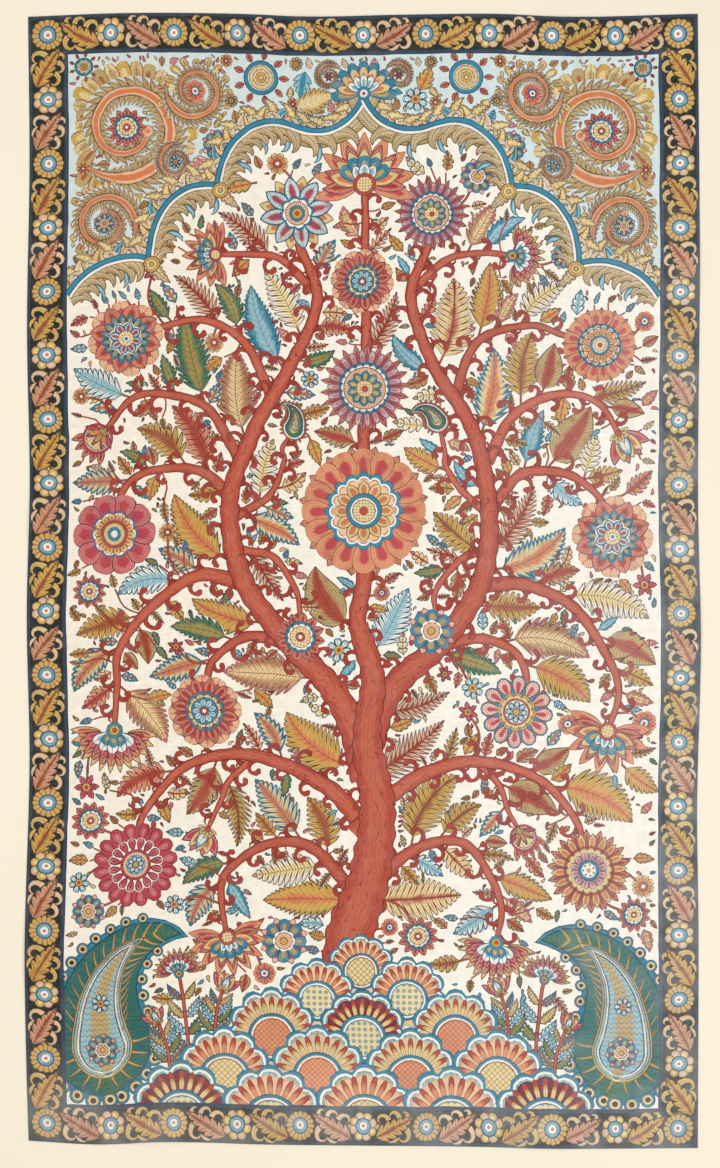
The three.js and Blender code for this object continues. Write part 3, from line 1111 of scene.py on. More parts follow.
# the bake map: the painted face over most of the square, the back and rim in a strip beside it
bakeMap = {"front": (0.004, (0.89, 0.992)), "back": ((0.905, 0.004), (0.09, 0.6))}


def makeCloth():
    lie = sheetLie()
    points, faces, strokes, penIds, tones, forms = flattenPaint()
    downward = areasOf(points[faces]) < 0
    faces[downward], strokes[downward] = faces[downward][:, ::-1], strokes[downward][:, ::-1]
    backPoints, backFaces = backSheet(points[onRim(points)])
    rimFaces = rimBetween(points, faces, backPoints)
    allFaces = np.concatenate([faces, backFaces + len(points), rimFaces])
    places = np.concatenate([layOnFloor(points, lie, panelCloth["thickness"]), layOnFloor(backPoints, lie, 0)])
    mesh = bpy.data.meshes.new("paintedCloth")
    mesh.from_pydata(places.tolist(), [], allFaces.tolist())
    colors = [np.array([dyeColor(pens[name][k]) for name in penNames])[penIds] for k in range(4)]
    middles = points[faces].mean(1)
    # the back shows a little of the dye that has gone through
    through = dyeOver(backPoints[backFaces].mean(1), middles, areasOf(points[faces]), colors[2])
    cotton, share, rimShare = np.array(dyeColor("cotton")), clothBack["through"], clothBack["rimDye"]
    rimColor = cotton * (1 - rimShare) + np.array(dyeColor("navy")) * rimShare
    rest = np.concatenate([cotton * (1 - share) + through * share, np.tile(rimColor, (len(rimFaces), 1))])
    for key, values in zip(("Line", "Rim", "Fill", "Core", "Ground"), (*colors, groundUnder(middles))):
        opaque = np.pad(np.concatenate([values, rest]), ((0, 0), (0, 1)), constant_values=1)
        addLayer(mesh, "pen" + key, "FLOAT_COLOR", "FACE", opaque)
    plain = ((0, len(rest)), (0, 0))
    sizes = np.array([pens[name][4:] for name in penNames], float)[penIds]
    touch = np.stack([sizes[:, 6], tones, sizes[:, 7]], 1)
    addLayer(mesh, "shapeForm", "FLOAT_COLOR", "FACE", np.pad(forms, plain))
    for key, values in (("penWidths", sizes[:, :3]), ("penVeins", sizes[:, 3:6]), ("penTouch", touch)):
        addLayer(mesh, key, "FLOAT_VECTOR", "FACE", np.pad(values, plain))
    plainStrokes = np.tile(bareStroke, (len(rest) * 3, 1))
    addLayer(mesh, "stroke", "FLOAT_VECTOR", "CORNER", np.concatenate([strokes.reshape(-1, 3), plainStrokes]))
    uv = (np.concatenate([points, backPoints]) / (2 * halfWide, 2 * halfLong) + 0.5)[allFaces.ravel()]
    onFront = np.arange(len(allFaces)) < len(faces)
    for part, side in (("front", onFront), ("back", ~onFront)):
        corners, (start, size) = np.repeat(side, 3), bakeMap[part]
        uv[corners] = start + uv[corners] * size
    mesh.uv_layers.new(name="OFBake").data.foreach_set("uv", uv.ravel())
    mesh.materials.append(paintedCotton)
    mesh.materials.append(clothReverse)
    mesh.polygons.foreach_set("material_index", (~onFront).astype(np.int32))
    mesh.polygons.foreach_set("use_smooth", np.arange(len(allFaces)) < len(faces) + len(backFaces))
    mesh.update()
    print("cloth:", len(allFaces), "triangles")
    return addObject("paintedCloth", mesh)


# flowers, from the outermost ring inwards, in shares of the flower's radius
flowerKinds = {
    "peachWheel": [
        ("petals", 16, .5, 1, .12, "brickPetal", "point", .2), ("petals", 16, .42, .95, .185, "peachPetal"),
        ("lobes", 16, .6, .12, "blueRing"), ("lobes", 16, .54, .12, "whiteRing"),
        ("lobes", 16, .5, .12, "rayRing"), ("petals", 12, .2, .47, .095, "yellowPetal", "point"),
        ("discs", .27, "blueRing", .21, "whiteRing", .18, "dotRing", .07, "redDot")],
    "starLotus": [
        ("petals", 8, .3, 1, .27, "apricotPetal", "round", .39),
        ("petals", 8, .3, .95, .25, "salmonPetal", "point"), ("petals", 16, .3, .64, .1, "deepPetal"),
        ("lobes", 8, .46, .2, "whiteRing"), ("petals", 8, .14, .44, .13, "starPetal", "point"),
        ("discs", .22, "dotRing", .1, "whiteRing", .05, "blueDot")],
    "roseMandala": [
        ("lobes", 16, 1, .13, "crimsonRing"), ("petals", 16, .6, .97, .135, "crimsonPetal"),
        ("lobes", 16, .66, .12, "whiteRing"), ("petals", 16, .34, .63, .09, "rosePetal"),
        ("lobes", 12, .38, .12, "crimsonRing"), ("discs", .32, "rayRing", .24, "skyRing"),
        ("petals", 8, .06, .22, .07, "bluePetal", "point"), ("discs", .08, "goldRing")],
    "flameSun": [
        ("petals", 18, .5, 1, .1, "brickPetal", "point", .17),
        ("petals", 18, .5, .9, .1, "yellowPetal", "point"), ("lobes", 18, .6, .12, "redRing"),
        ("lobes", 18, .55, .12, "netRing"), ("petals", 12, .2, .44, .1, "plumPetal"),
        ("discs", .26, "blueRing", .19, "whiteRing"), ("dots", 7, .13, .026, "redDot"),
        ("discs", .06, "goldDot")],
    "blueStar": [
        ("petals", 8, .2, 1, .2, "yellowPetal", "point", .39),
        ("petals", 8, .2, .98, .23, "starPetal", "point"), ("lobes", 8, .46, .16, "deepPetal"),
        ("lobes", 8, .4, .16, "whiteRing"),
        ("discs", .32, "rayRing", .22, "blueRing", .15, "goldRing", .07, "redDot")],
    "plumRound": [
        ("petals", 10, .34, 1, .29, "rosePetal"), ("lobes", 10, .6, .14, "plumRing"),
        ("lobes", 10, .54, .14, "whiteRing"), ("petals", 14, .26, .5, .1, "yellowPetal"),
        ("discs", .34, "redRing", .28, "netRing", .18, "blueRing", .1, "whiteRing")],
    "honeyWheel": [
        ("petals", 12, .4, 1, .24, "apricotPetal", "round", .26),
        ("petals", 12, .4, .94, .16, "salmonPetal", "point"), ("lobes", 12, .55, .14, "deepPetal"),
        ("lobes", 12, .48, .14, "dotRing"), ("discs", .38, "blueRing"),
        ("petals", 9, .1, .35, .1, "skyPetal", "point"), ("discs", .12, "redRing", .06, "whiteDot")],
    "skyWheel": [
        ("lobes", 12, 1, .16, "blueRing"), ("petals", 12, .45, .95, .19, "blushPetal"),
        ("lobes", 12, .54, .14, "goldRing"), ("lobes", 12, .48, .14, "netRing"),
        ("discs", .37, "redRing", .32, "whiteRing"), ("petals", 8, .08, .3, .085, "bluePetal"),
        ("discs", .11, "goldRing")],
    "featherSun": [
        ("petals", 22, .46, 1, .085, "salmonPetal", "point"),
        ("petals", 22, .42, .84, .075, "plumPetal", "round", .14), ("lobes", 20, .58, .1, "blueRing"),
        ("lobes", 20, .53, .1, "whiteRing"), ("discs", .47, "rayRing"),
        ("petals", 10, .14, .4, .11, "deepPetal", "point"), ("discs", .2, "dotRing", .08, "redDot")],
    "lotusFan": [
        ("fan", 9, .1, 1, .16, "peachPetal", "point", 210),
        ("fan", 9, .1, .82, .13, "salmonPetal", "point", 190),
        ("fan", 7, .1, .7, .14, "yellowPetal", "point", 150),
        ("fan", 5, .1, .56, .13, "deepPetal", "round", 110),
        ("fan", 3, .05, .42, .12, "skyPetal", "point", 60), ("discs", .22, "redRing", .16, "dotRing")],
    "carnation": [
        ("fan", 13, .3, 1, .1, "yellowPetal", "point", 170),
        ("fan", 11, .3, .84, .1, "brickPetal", "round", 160),
        ("fan", 9, .2, .68, .11, "rosePetal", "round", 140),
        ("fan", 5, .1, .54, .14, "skyPetal", "round", 110),
        ("fan", 3, .05, .4, .12, "deepPetal", "round", 70),
        ("discs", .2, "blueRing", .13, "goldRing", .06, "redDot")],
    "tulip": [
        ("fan", 4, 0, 1, .2, "rosePetal", "point", 84), ("fan", 3, 0, .9, .2, "yellowPetal", "point", 46),
        ("fan", 1, 0, .78, .2, "bluePetal", "point", 10),
        ("fan", 5, -.05, .36, .1, "oliveLeaflet", "point", 170), ("discs", .12, "redRing")],
    "pomegranate": [
        ("fan", 5, .5, 1.12, .13, "brickPetal", "point", 66), ("body", .34, .48, "crimsonRing"),
        ("body", .34, .41, "whiteRing"), ("body", .34, .37, "dotRing"),
        ("fan", 5, .12, .62, .09, "rosePetal", "point", 120),
        ("fan", 3, .08, .5, .09, "yellowPetal", "point", 70),
        ("fan", 5, -.12, .2, .07, "oliveLeaflet", "point", 190)],
    "mangoFruit": [
        ("fringe", 1.9, .52, "yellowPetal"), ("mango", 1.9, .52, 0, 1, 1, "redRing"),
        ("mango", 1.9, .52, .03, .97, .86, "scrollCream"), ("mango", 1.9, .52, .07, .9, .72, "mangoTeal"),
        ("mango", 1.9, .52, .16, .78, .46, "scrollGold"), ("mango", 1.9, .52, .2, .7, .34, "mangoHeart")],
    "smallWheel": [
        ("petals", 8, .2, 1, .34, "peachPetal"), ("discs", .46, "blueRing", .33, "whiteRing", .15, "redDot")],
    "smallStar": [("petals", 6, .1, 1, .27, "rosePetal", "point"), ("discs", .36, "goldRing", .17, "redDot")],
    "smallBlue": [("petals", 7, .2, 1, .32, "bluePetal"), ("discs", .4, "goldRing", .18, "redDot")],
    "smallCream": [("petals", 9, .2, 1, .28, "paleLeaf"), ("discs", .42, "goldRing", .18, "redDot")],
    "smallGold": [("petals", 8, .2, 1, .3, "yellowPetal"), ("discs", .42, "redRing", .22, "whiteRing")],
    "middleWheel": [
        ("petals", 12, .4, 1, .2, "salmonPetal", "point"), ("lobes", 12, .64, .12, "blueRing"),
        ("lobes", 12, .54, .12, "whiteRing"), ("discs", .44, "dotRing", .2, "redRing", .09, "whiteDot")],
    "middleStar": [
        ("petals", 8, .2, 1, .24, "blushPetal", "point", .39), ("petals", 8, .2, .9, .24, "deepPetal"),
        ("lobes", 8, .46, .14, "whiteRing"), ("discs", .36, "rayRing", .17, "goldRing")],
    "roundel": [
        ("petals", 9, 1, 1.62, .2, "brickPetal", "point"), ("lobes", 22, 1, .05, "blueRing"),
        ("discs", .76, "whiteRing", .7, "netRing", .48, "tanRing", .34, "goldRing", .16, "tanRing")],
}


# each kind of ring, drawn from its sizes in shares of the radius
def petalsOf(spot, radius, count, inner, outer, width, pen, shape="round", first=0):
    steps = 9 if radius > 45 else 6 if radius > 26 else 5
    petalRing(spot, count, inner * radius, outer * radius, width * radius, pen, shape, first, steps=steps)


def fanOf(spot, radius, count, inner, outer, width, pen, shape, span):
    petalRing(spot, count, inner * radius, outer * radius, width * radius, pen, shape, 0, math.radians(span),
              8 if radius > 40 else 6)


def lobesOf(spot, radius, lobes, size, depth, pen):
    disc(spot, size * radius, pen, lobes=lobes, depth=depth)


def discsOf(spot, radius, *rounds):
    for size, pen in zip(rounds[::2], rounds[1::2]):
        disc(spot, size * radius, pen)


def bodyOf(spot, radius, away, size, pen):
    disc(within(spot, away * radius, 0), size * radius, pen, sides=22)


def dotsOf(spot, radius, count, away, size, pen):
    for i in range(count):
        disc(around(spot, math.tau * i / count, away * radius), size * radius, pen, sides=6)


fruitBend = 2.6


def mangoOf(spot, radius, long, wide, start, end, scale, pen):
    mango(spot, long * radius, wide * radius, fruitBend, pen, start, end, scale)


# short petals round a mango's outline
def fringeOf(spot, radius, long, wide, pen, count=11, steps=60):
    length, width = long * radius, wide * radius
    fine = bentSpine(length, fruitBend, steps, 2.0)
    side, _ = normalsOf(fine)
    head = min(mangoHead, width / length)
    tip = width * 0.3
    for i in range(count):
        share = 0.06 + 0.66 * i / (count - 1)
        k = int(share * steps)
        swell = math.sin(math.acos(1 - share / head)) if share < head else ((1 - share) / (1 - head)) ** 0.8
        back = 0.75 if share < head * 0.6 else -0.2
        for way in (1, -1):
            foot = fine[k] + side[k] * way * width * swell * 0.9
            petal(within(spot, *foot, turnOf(side[k] * way) + way * back), -2, tip, tip * 0.34, pen, "point", 5)
    petal(within(spot, 2, 0, math.pi), -2, tip, tip * 0.34, pen, "point", 5)


ringKinds = {"petals": petalsOf, "fan": fanOf, "lobes": lobesOf, "discs": discsOf, "body": bodyOf,
             "dots": dotsOf, "mango": mangoOf, "fringe": fringeOf}


def flower(spot, radius, kind):
    for form, *ring in flowerKinds[kind]:
        ringKinds[form](spot, radius, *ring)


# a smooth line through a few points, one point every few millimetres
def smoothLine(points, step=5.0):
    points = np.asarray(points, float)
    ends = np.concatenate([[2 * points[0] - points[1]], points, [2 * points[-1] - points[-2]]])
    t = np.linspace(0, 1, 24, endpoint=False)[:, None]
    fine = [0.5 * (2 * b + (c - a) * t + (2 * a - 5 * b + 4 * c - d) * t ** 2
                   + (3 * b - a - 3 * c + d) * t ** 3)
            for a, b, c, d in zip(ends[:-3], ends[1:-2], ends[2:-1], ends[3:])]
    return evenly(np.concatenate(fine + [points[-1:]]), step, 3)


# the cusped arch, left half, as curve pieces from the border to the point over the tree
archShape = {
    "left": [((-403, 388), (-384, 424), (-334, 448), (-293, 435)),
             ((-293, 435), (-294, 496), (-256, 545), (-201, 537)),
             ((-201, 537), (-197, 596), (-150, 640), (-98, 622)),
             ((-98, 622), (-58, 606), (-18, 616), (0, 664))],
    "blueHalf": 3.9, "whiteHalf": 2.6, "whiteOut": 5.2, "frillPitch": 18.0, "frillLong": 30.0,
    "scrollPitch": 24.0, "studs": [(-293, 435), (-201, 537)], "studTurn": -1.05,
}


def bezierLine(piece, step=6.0):
    a, b, c, d = (np.array(p, float) for p in piece)
    t = np.linspace(0, 1, 40)[:, None]
    return evenly(a * (1 - t) ** 3 + 3 * b * t * (1 - t) ** 2 + 3 * c * t ** 2 * (1 - t) + d * t ** 3, step, 4)


archTop = np.array([archShape["left"][-1][-1]], float)
archLeft = np.concatenate([bezierLine(piece)[:-1] for piece in archShape["left"]] + [archTop])
archWhole = np.concatenate([archLeft, (archLeft * (-1, 1))[::-1][1:]])
home = spotAt(0, 0)


def archHeight(x):
    return float(np.interp(-abs(x), archLeft[:, 0], archLeft[:, 1]))


def turnOf(vector):
    return math.atan2(vector[1], vector[0])


# spots along a curve, with their headings, evenly spaced
def spotsAlong(line, pitch, first, offset, mirror):
    side, step = normalsOf(line)
    run = runOf(line)
    count = max(2, int(run[-1] / pitch))
    for i in range(count):
        k = int(np.searchsorted(run, (i + first) / count * run[-1]))
        yield i, spotAt(*(line[k] - side[k] * mirror * offset), turnOf(step[k]), 1.0, mirror)


def paintSpandrelGround():
    for p, q in zip(archWhole[:-1], archWhole[1:]):
        if abs(q[0] - p[0]) > 0.05:
            box = np.array([p, q, (q[0], fieldY), (p[0], fieldY)], float)
            stencil.add(box[twoHalves], np.tile(bareStroke, (2, 3, 1)), outlineOf(box), "spandrel", whole=True)


archCurls = ("scrollGold", "scrollCream", "scrollGold", "scrollBlue")


def paintArch():
    paintSpandrelGround()
    paintSpandrels()
    pieces = [(mirror, number, bezierLine(piece, 3.0) * (mirror, 1))
              for mirror in (1, -1) for number, piece in enumerate(archShape["left"])]
    # curled leaves outside the line
    for mirror, number, line in pieces:
        for i, spot in spotsAlong(line, archShape["scrollPitch"], 0.5, -4, mirror):
            leaf(within(spot, -11, 0, 1.9), 32, 8.0, 0.9, "scrollGold", 5, "lobed", 0.6)
            curl(within(spot, -9, 0, 1.15), 46, 6.4, -3.5, archCurls[(i + number) % 4], 10)
            curl(within(spot, 3, 0, 1.7), 27, 4.6, -3.2, "scrollGold", 8)
            curl(within(spot, -7, 0, 2.2), 22, 3.8, 2.9, "scrollCream", 7)
    # the leafy frill inside it
    for mirror, _, line in pieces:
        ribbon(home, line - normalsOf(line)[0] * mirror * 14, 10, "frill")
        for i, spot in spotsAlong(line, archShape["frillPitch"], 0.4, 8, mirror):
            long = archShape["frillLong"] * hand.uniform(0.88, 1.12)
            if abs(spot[0]) < 12:
                continue
            if i % 3 == 1:
                hook(within(spot, 0, -8, -0.7), long * 1.1, 6.4, -2.1, "frillBlue", 8)
            hook(within(spot, -12, 1, -0.45), long * 1.2, 10.5, -1.9, "frill", 9)
    # the white and blue lines and their studs
    for mirror in (1, -1):
        lines = [line for way, _, line in pieces if way == mirror]
        for line in lines:
            out = normalsOf(line)[0] * -mirror * archShape["whiteOut"]
            ribbon(home, line + out, archShape["whiteHalf"], "archWhite")
        for line in lines:
            ribbon(home, line, archShape["blueHalf"], "archBlue")
        for x, y in archShape["studs"]:
            spot = mirrored(x, y, archShape["studTurn"], mirror, mirror)
            leaf(within(spot, 2, 0), 44, 9.0, 0.5, "frill", 5)
            disc(within(spot, 9, 0), 11.5, "goldRing", lobes=12, depth=0.12)
            discs(within(spot, 9, 0), (7.4, "straw", 14), (4.0, "goldRing", 10))
    spot = spotAt(*archTop[0], math.pi / 2)
    for count, inner, outer, wide, pen, span in (
            (9, 4, 46, 8, "deepPetal", 3.3), (7, 4, 36, 7, "yellowPetal", 2.7), (5, 2, 25, 6, "skyPetal", 2.0)):
        petalRing(spot, count, inner, outer, wide, pen, "round", 0, span)
    discs(spot, (10, "blueRing", None), (6, "whiteRing", None), (2.6, "redDot", 8))
    print("arch painted")


# winding bands over the arch: place, radius, first turn, flower in the middle
spandrelScrolls = [
    (-324, 614, 76, -2.4, "middleWheel"), (-354, 484, 46, -0.6, "middleStar"),
    (-230, 664, 42, 3.0, "smallWheel"), (-258, 566, 26, 1.2, "smallBlue"), (-48, 688, 20, 0.4, "smallStar"),
]
# round ornaments and small daisies among them: place, radius, kind
spandrelRounds = [
    (-140, 684, 24, "roundel"), (-382, 698, 13, "roundel"), (-187, 706, 9.5, "smallGold"),
    (-181, 652, 9.5, "smallCream"), (-97, 650, 9.5, "smallGold"), (-92, 705, 9.5, "smallCream"),
    (-384, 560, 9.5, "smallGold"),
]
spandrelLeaves = ("scrollGold", "fringeGold", "scrollCream", "scrollGold", "goldLeaf", "scrollBlue",
                  "fringeGold", "scrollRose")
spandrelFill = {
    "flowers": ("smallGold", "smallStar", "smallBlue", "smallWheel"),
    "leaves": [(pen, "lobed", 0.3) for pen in spandrelLeaves],
    "buds": ("scrollGold", "scrollCream", "scrollRose", "fringeGold"),
    "smallest": 2.8, "leafRoom": 4.6, "flowerRoom": 12, "bigRoom": 18, "most": 420,
}
featherPens = ("fringeGold", "feathered", "scrollGold", "feathered")


def inSpandrel(x, y):
    return min(fieldX - 3 - abs(x), fieldY - 3 - y, y - archHeight(x) - 18)


# feathers round a band, which winds inwards, as long as there is room for
def scrollFeathers(spot, radius):
    count = int(radius / 2.6) if radius > 30 else 0
    for i in range(count):
        heading = math.tau * i / count
        away = radius * (0.86 - 0.25 * (heading / math.tau))
        foot = around(spot, heading, away, heading + 0.35)
        for long in (radius * 0.52, radius * 0.4, radius * 0.3):
            if inSpandrel(*onCloth(foot, (long, 0))) > 0:
                petal(foot, 0, long, radius * 0.13, featherPens[i % 4], "round", 6)
                for share in (0.5, 0.85):
                    take(*onCloth(foot, (long * share, 0)), radius * 0.11)
                break


def paintSpandrels():
    for mirror in (1, -1):
        for x, y, radius, turn, kind in spandrelScrolls:
            spot = mirrored(x, y, turn, mirror, mirror)
            scrollFeathers(spot, radius)
            line, reach = scroll(spot, radius, 1.35, radius * 0.14, "scrollBand", "fringeGold", radius * 0.4)
            flower(spotAt(x * mirror, y), radius * 0.36, kind)
            take(x * mirror, y, radius * 0.36)
            for place, wide in zip(line, reach):
                take(*place, wide)
        for x, y, radius, kind in spandrelRounds:
            flower(spotAt(x * mirror, y), radius, kind)
            take(x * mirror, y, radius * (1.62 if kind == "roundel" else 1.0))
        places = np.array([(x * mirror, y) for x in np.arange(-400, 0, 5.0) for y in np.arange(420, 714, 5.0)])
        paintAll(fillGaps(places, inSpandrel, spandrelFill))


# the mound of scalloped hills, rows from the back to the front: height, radius, places across
moundHills = [
    (-530, 47, [0]), (-568, 54, [-64, 64]), (-620, 62, [-124, 0, 124]), (-674, 66, [-186, -62, 62, 186]),
    (-730, 72, [-246, -123, 0, 123, 246]),
]
moundFoot = -690
# each hill's ground, rays and foot
hillKinds = [
    ("hillCream", "flamePetal", "lattice"), ("hillCream", "flamePetal", "mosaic"),
    ("hillWine", "sunPetal", "mosaic"), ("hillTan", "sunPetal", "emberNet"),
]


def hill(x, y, radius, kind):
    spot = spotAt(x, y, math.pi / 2)
    foot = within(spot, -radius * 0.1, 0)
    ground, rays, base = hillKinds[kind]
    for share, pen in ((1.0, "hillBlue"), (0.925, "hillWhite"), (0.865, "skyRing"), (0.825, ground)):
        disc(spot, radius * share, pen, lobes=11, depth=0.13)
    for outer, wide, pen in ((0.9, 0.06, "flameTip"), (0.76, 0.055, rays)):
        petalRing(foot, 13, radius * 0.42, radius * outer, radius * wide, pen, "round", 0, 3.0, 5)
    discsOf(foot, radius, 0.53, "hillBlue", 0.47, "hillWhite", 0.42, base)


# a large dark mango in each lower corner, its outline set with round dots, and the rings inside it: pen, start
# and end along it, share of its width
cornerMango = {
    "place": (-336, -708), "length": 306, "width": 78, "turn": 1.86, "bend": 2.3, "dotPitch": 23.0,
    "rings": [("scrollGold", 0.10, 0.80, 0.54), ("scrollBlue", 0.11, 0.78, 0.50),
              ("scrollCream", 0.12, 0.75, 0.45), ("mangoHeart", 0.13, 0.72, 0.40)],
}


def cornerSpot(mirror):
    return mirrored(*cornerMango["place"], cornerMango["turn"], mirror, -mirror)


def paintCorner(mirror):
    long, wide, bend = cornerMango["length"], cornerMango["width"], cornerMango["bend"]
    spot = cornerSpot(mirror)
    spine, widths = mango(spot, long, wide, bend, "mangoBand")
    at = np.linspace(0, len(spine) - 1, 90)
    x, y, reach = (np.interp(at, np.arange(len(spine)), values) for values in (*spine.T, widths))
    fine = np.stack([x, y], 1)
    side, _ = normalsOf(fine)
    for way in (1, -1):
        outline = fine + side * (reach * way)[:, None]
        run = runOf(outline)
        for distance in np.arange(8, run[-1] * 0.86, cornerMango["dotPitch"]):
            place = [np.interp(distance, run, outline[:, k]) for k in (0, 1)]
            size = 11.5 - 4.5 * distance / run[-1]
            discs(within(spot, *place), (size, "blueRing", 14), (size * 0.70, "straw", 11),
                  (size * 0.38, "inkDot", 8))
    mango(spot, long, wide, bend, "mangoTeal", 0.025, 0.97, 0.88)
    for k in range(5, len(spine) - 3):
        heading = turnOf(spine[k + 1] - spine[k])
        for way in (1, -1):
            foot = within(spot, *spine[k], heading + way * 0.9)
            hook(foot, widths[k] * 0.86, 1.5, -way * 0.5, "goldTongue", 6)
    for i in range(9):
        heading = math.pi + 1.3 * (i - 4) / 4
        place = spine[8] + np.array([math.cos(heading), math.sin(heading)]) * wide * 0.5
        hook(within(spot, *place, heading), wide * 0.34, 1.5, 0.5 * (1 if i > 4 else -1), "goldTongue", 5)
    for pen, start, end, scale in cornerMango["rings"]:
        mango(spot, long, wide, bend, pen, start, end, scale)
    flower(within(spot, *fine[30]), 24, "middleStar")
    flower(within(spot, *fine[46]), 13, "smallBlue")


# plants that stand beside the mound: foot, height, lean, flower, its radius
shrubs = [(-236, -660, 120, 0.2, "carnation", 36), (-200, -624, 62, -0.35, "tulip", 30),
          (-262, -668, 62, 0.5, "tulip", 26)]
shrubLeaves = ("blueLeaf", "greenLeaf", "skyLeaf", "oliveLeaf")


def shrubSpot(x, y, mirror):
    return spotAt(x * mirror, y, math.pi / 2, 1.0, mirror)


def paintShrub(x, y, height, lean, kind, radius, mirror):
    spot = shrubSpot(x, y, mirror)
    spine = bentSpine(height, lean, 10)
    _, step = normalsOf(spine)
    for k in range(1, 9, 2):
        for way in (1, -1):
            long = (46 - 2.4 * k) * (0.7 + height / 300)
            pen = shrubLeaves[(k // 2 + (way > 0)) % 4]
            foot = within(spot, *spine[k], turnOf(step[k]) + way * 1.0)
            leaf(foot, long, long * 0.2, -way * 0.7, pen, 6, "lobed")
    ribbon(spot, spine, 2.6, "twig")
    flower(within(spot, *spine[-1], lean), radius, kind)


def paintMound():
    for mirror in (1, -1):
        paintCorner(mirror)
        for shrub in shrubs:
            paintShrub(*shrub, mirror)
    for row, (y, radius, places) in enumerate(moundHills):
        for i, x in enumerate(places):
            kind = (row + int(abs(i - (len(places) - 1) / 2))) % 4
            hill(x + hand.uniform(-4, 4), y + hand.uniform(-4, 4), radius, kind)
    print("mound painted")


def moundTop(x):
    return max([moundFoot] + [y + math.sqrt(max(0, r * r - (x - c) ** 2))
                              for y, r, places in moundHills for c in places if abs(x - c) < r])


# the tree: limbs as points with the half widths at both ends, then the place and radius of their flower
treeLimbs = {
    "trunk": ([(0, -585), (-18, -500), (10, -400), (20, -310), (4, -215), (12, -135), (-8, -60)], 40, 14, None),
    "heart": ([(0, -210), (12, -135), (-8, -60), (2, 20), (0, 200), (4, 330), (0, 540)], 15, 5, None),
    "lyre": ([(4, -270), (-38, -158), (-108, -85), (-160, 0), (-178, 100), (-150, 200), (-96, 290), (-64, 380),
              (-84, 455)], 21, 6, ((-96, 504), 52)),
    "low": ([(0, -440), (-58, -372), (-128, -362), (-178, -400), (-186, -448)], 11, 4, ((-184, -492), 54)),
    "wide": ([(12, -345), (-60, -275), (-150, -242), (-238, -262), (-294, -322), (-306, -358)], 14, 4,
             ((-312, -394), 58)),
    "wideInner": ([(-150, -243), (-178, -282), (-196, -308)], 6, 3, ((-212, -342), 40)),
    "under": ([(-108, -86), (-160, -78), (-204, -104), (-216, -138)], 9, 4, ((-212, -182), 50)),
    "drop": ([(-162, -6), (-226, -2), (-292, -36), (-334, -96), (-340, -150)], 11, 4, ((-338, -206), 60)),
    "side": ([(-178, 106), (-224, 142), (-284, 142), (-326, 116)], 9, 4, ((-338, 62), 56)),
    "rise": ([(-168, 160), (-206, 226), (-264, 256), (-318, 242)], 9, 4, ((-352, 206), 44)),
    "crest": ([(-124, 246), (-160, 318), (-220, 346), (-272, 338)], 8, 4, ((-318, 328), 52)),
    "shoulder": ([(-68, 396), (-108, 438), (-156, 448)], 7, 4, ((-198, 446), 46)),
    "curlIn": ([(-170, 40), (-128, 24), (-100, -10), (-92, -44)], 7, 3, ((-92, -74), 34)),
    "curlUp": ([(-176, 84), (-130, 118), (-112, 160), (-109, 176)], 7, 3, ((-108, 196), 34)),
}
# the flower at the end of each limb, on the left and on the right
limbFlowers = {
    "lyre": ("blueStar", "featherSun"), "low": ("lotusFan", "carnation"), "wide": ("roseMandala", "flameSun"),
    "wideInner": ("tulip", "pomegranate"), "under": ("honeyWheel", "skyWheel"),
    "drop": ("carnation", "lotusFan"), "side": ("plumRound", "starLotus"), "rise": ("pomegranate", "tulip"),
    "crest": ("starLotus", "peachWheel"), "shoulder": ("lotusFan", "carnation"),
    "curlIn": ("middleWheel", "middleStar"), "curlUp": ("mangoFruit", "mangoFruit"),
}
middleFlowers = [(0, 95, 90, "peachWheel"), (2, 262, 62, "featherSun"), (-2, 408, 44, "honeyWheel"),
                 (0, 540, 72, "lotusFan")]
fanKinds = {"lotusFan", "carnation", "tulip", "pomegranate", "mangoFruit"}
limbStray = 7
headStray = 6

# rounds of the cloth that are already painted
taken = [[], [], []]


def take(x, y, radius):
    for values, value in zip(taken, (x, y, radius)):
        values.append(value)


def awayFrom(x, y):
    if not taken[0]:
        return 99.0
    placeX, placeY, radius = map(np.array, taken)
    return float((np.hypot(placeX - x, placeY - y) - radius).min())


def inField(x, y):
    return min(fieldX - 3 - abs(x), archHeight(x) - 42 - y, y - moundTop(x) - 1)


def limbWidths(line, start, end):
    return start + (end - start) * np.linspace(0, 1, len(line)) ** 0.8


def paintAll(draws):
    for draw, *given in draws:
        draw(*given)


# the limbs' lines, and the flower heads they end in
def growLimbs():
    limbs, heads = [], []
    for name, (points, start, end, head) in treeLimbs.items():
        stray = limbStray if head else 0
        for mirror in (1, -1) if head else (1,):
            route = [(x * mirror + (hand.uniform(-stray, stray) if i else 0),
                      y + (hand.uniform(-stray, stray) if i else 0)) for i, (x, y) in enumerate(points)]
            if head:
                (hx, hy), radius = head
                kind = limbFlowers[name][mirror < 0]
                hx = hx * mirror + hand.uniform(-headStray, headStray)
                hy = hy + hand.uniform(-headStray, headStray)
                dx, dy = hx - route[-1][0], hy - route[-1][1]
                heads.append((hx, hy, radius, kind, math.atan2(dy, dx)))
                push = 0.2 if kind == "mangoFruit" else 0.0
                route.append((hx + dx * push, hy + dy * push))
            limbs.append((smoothLine(route), start, end, name))
    return limbs, heads + [(*flowerHead, math.pi / 2) for flowerHead in middleFlowers]


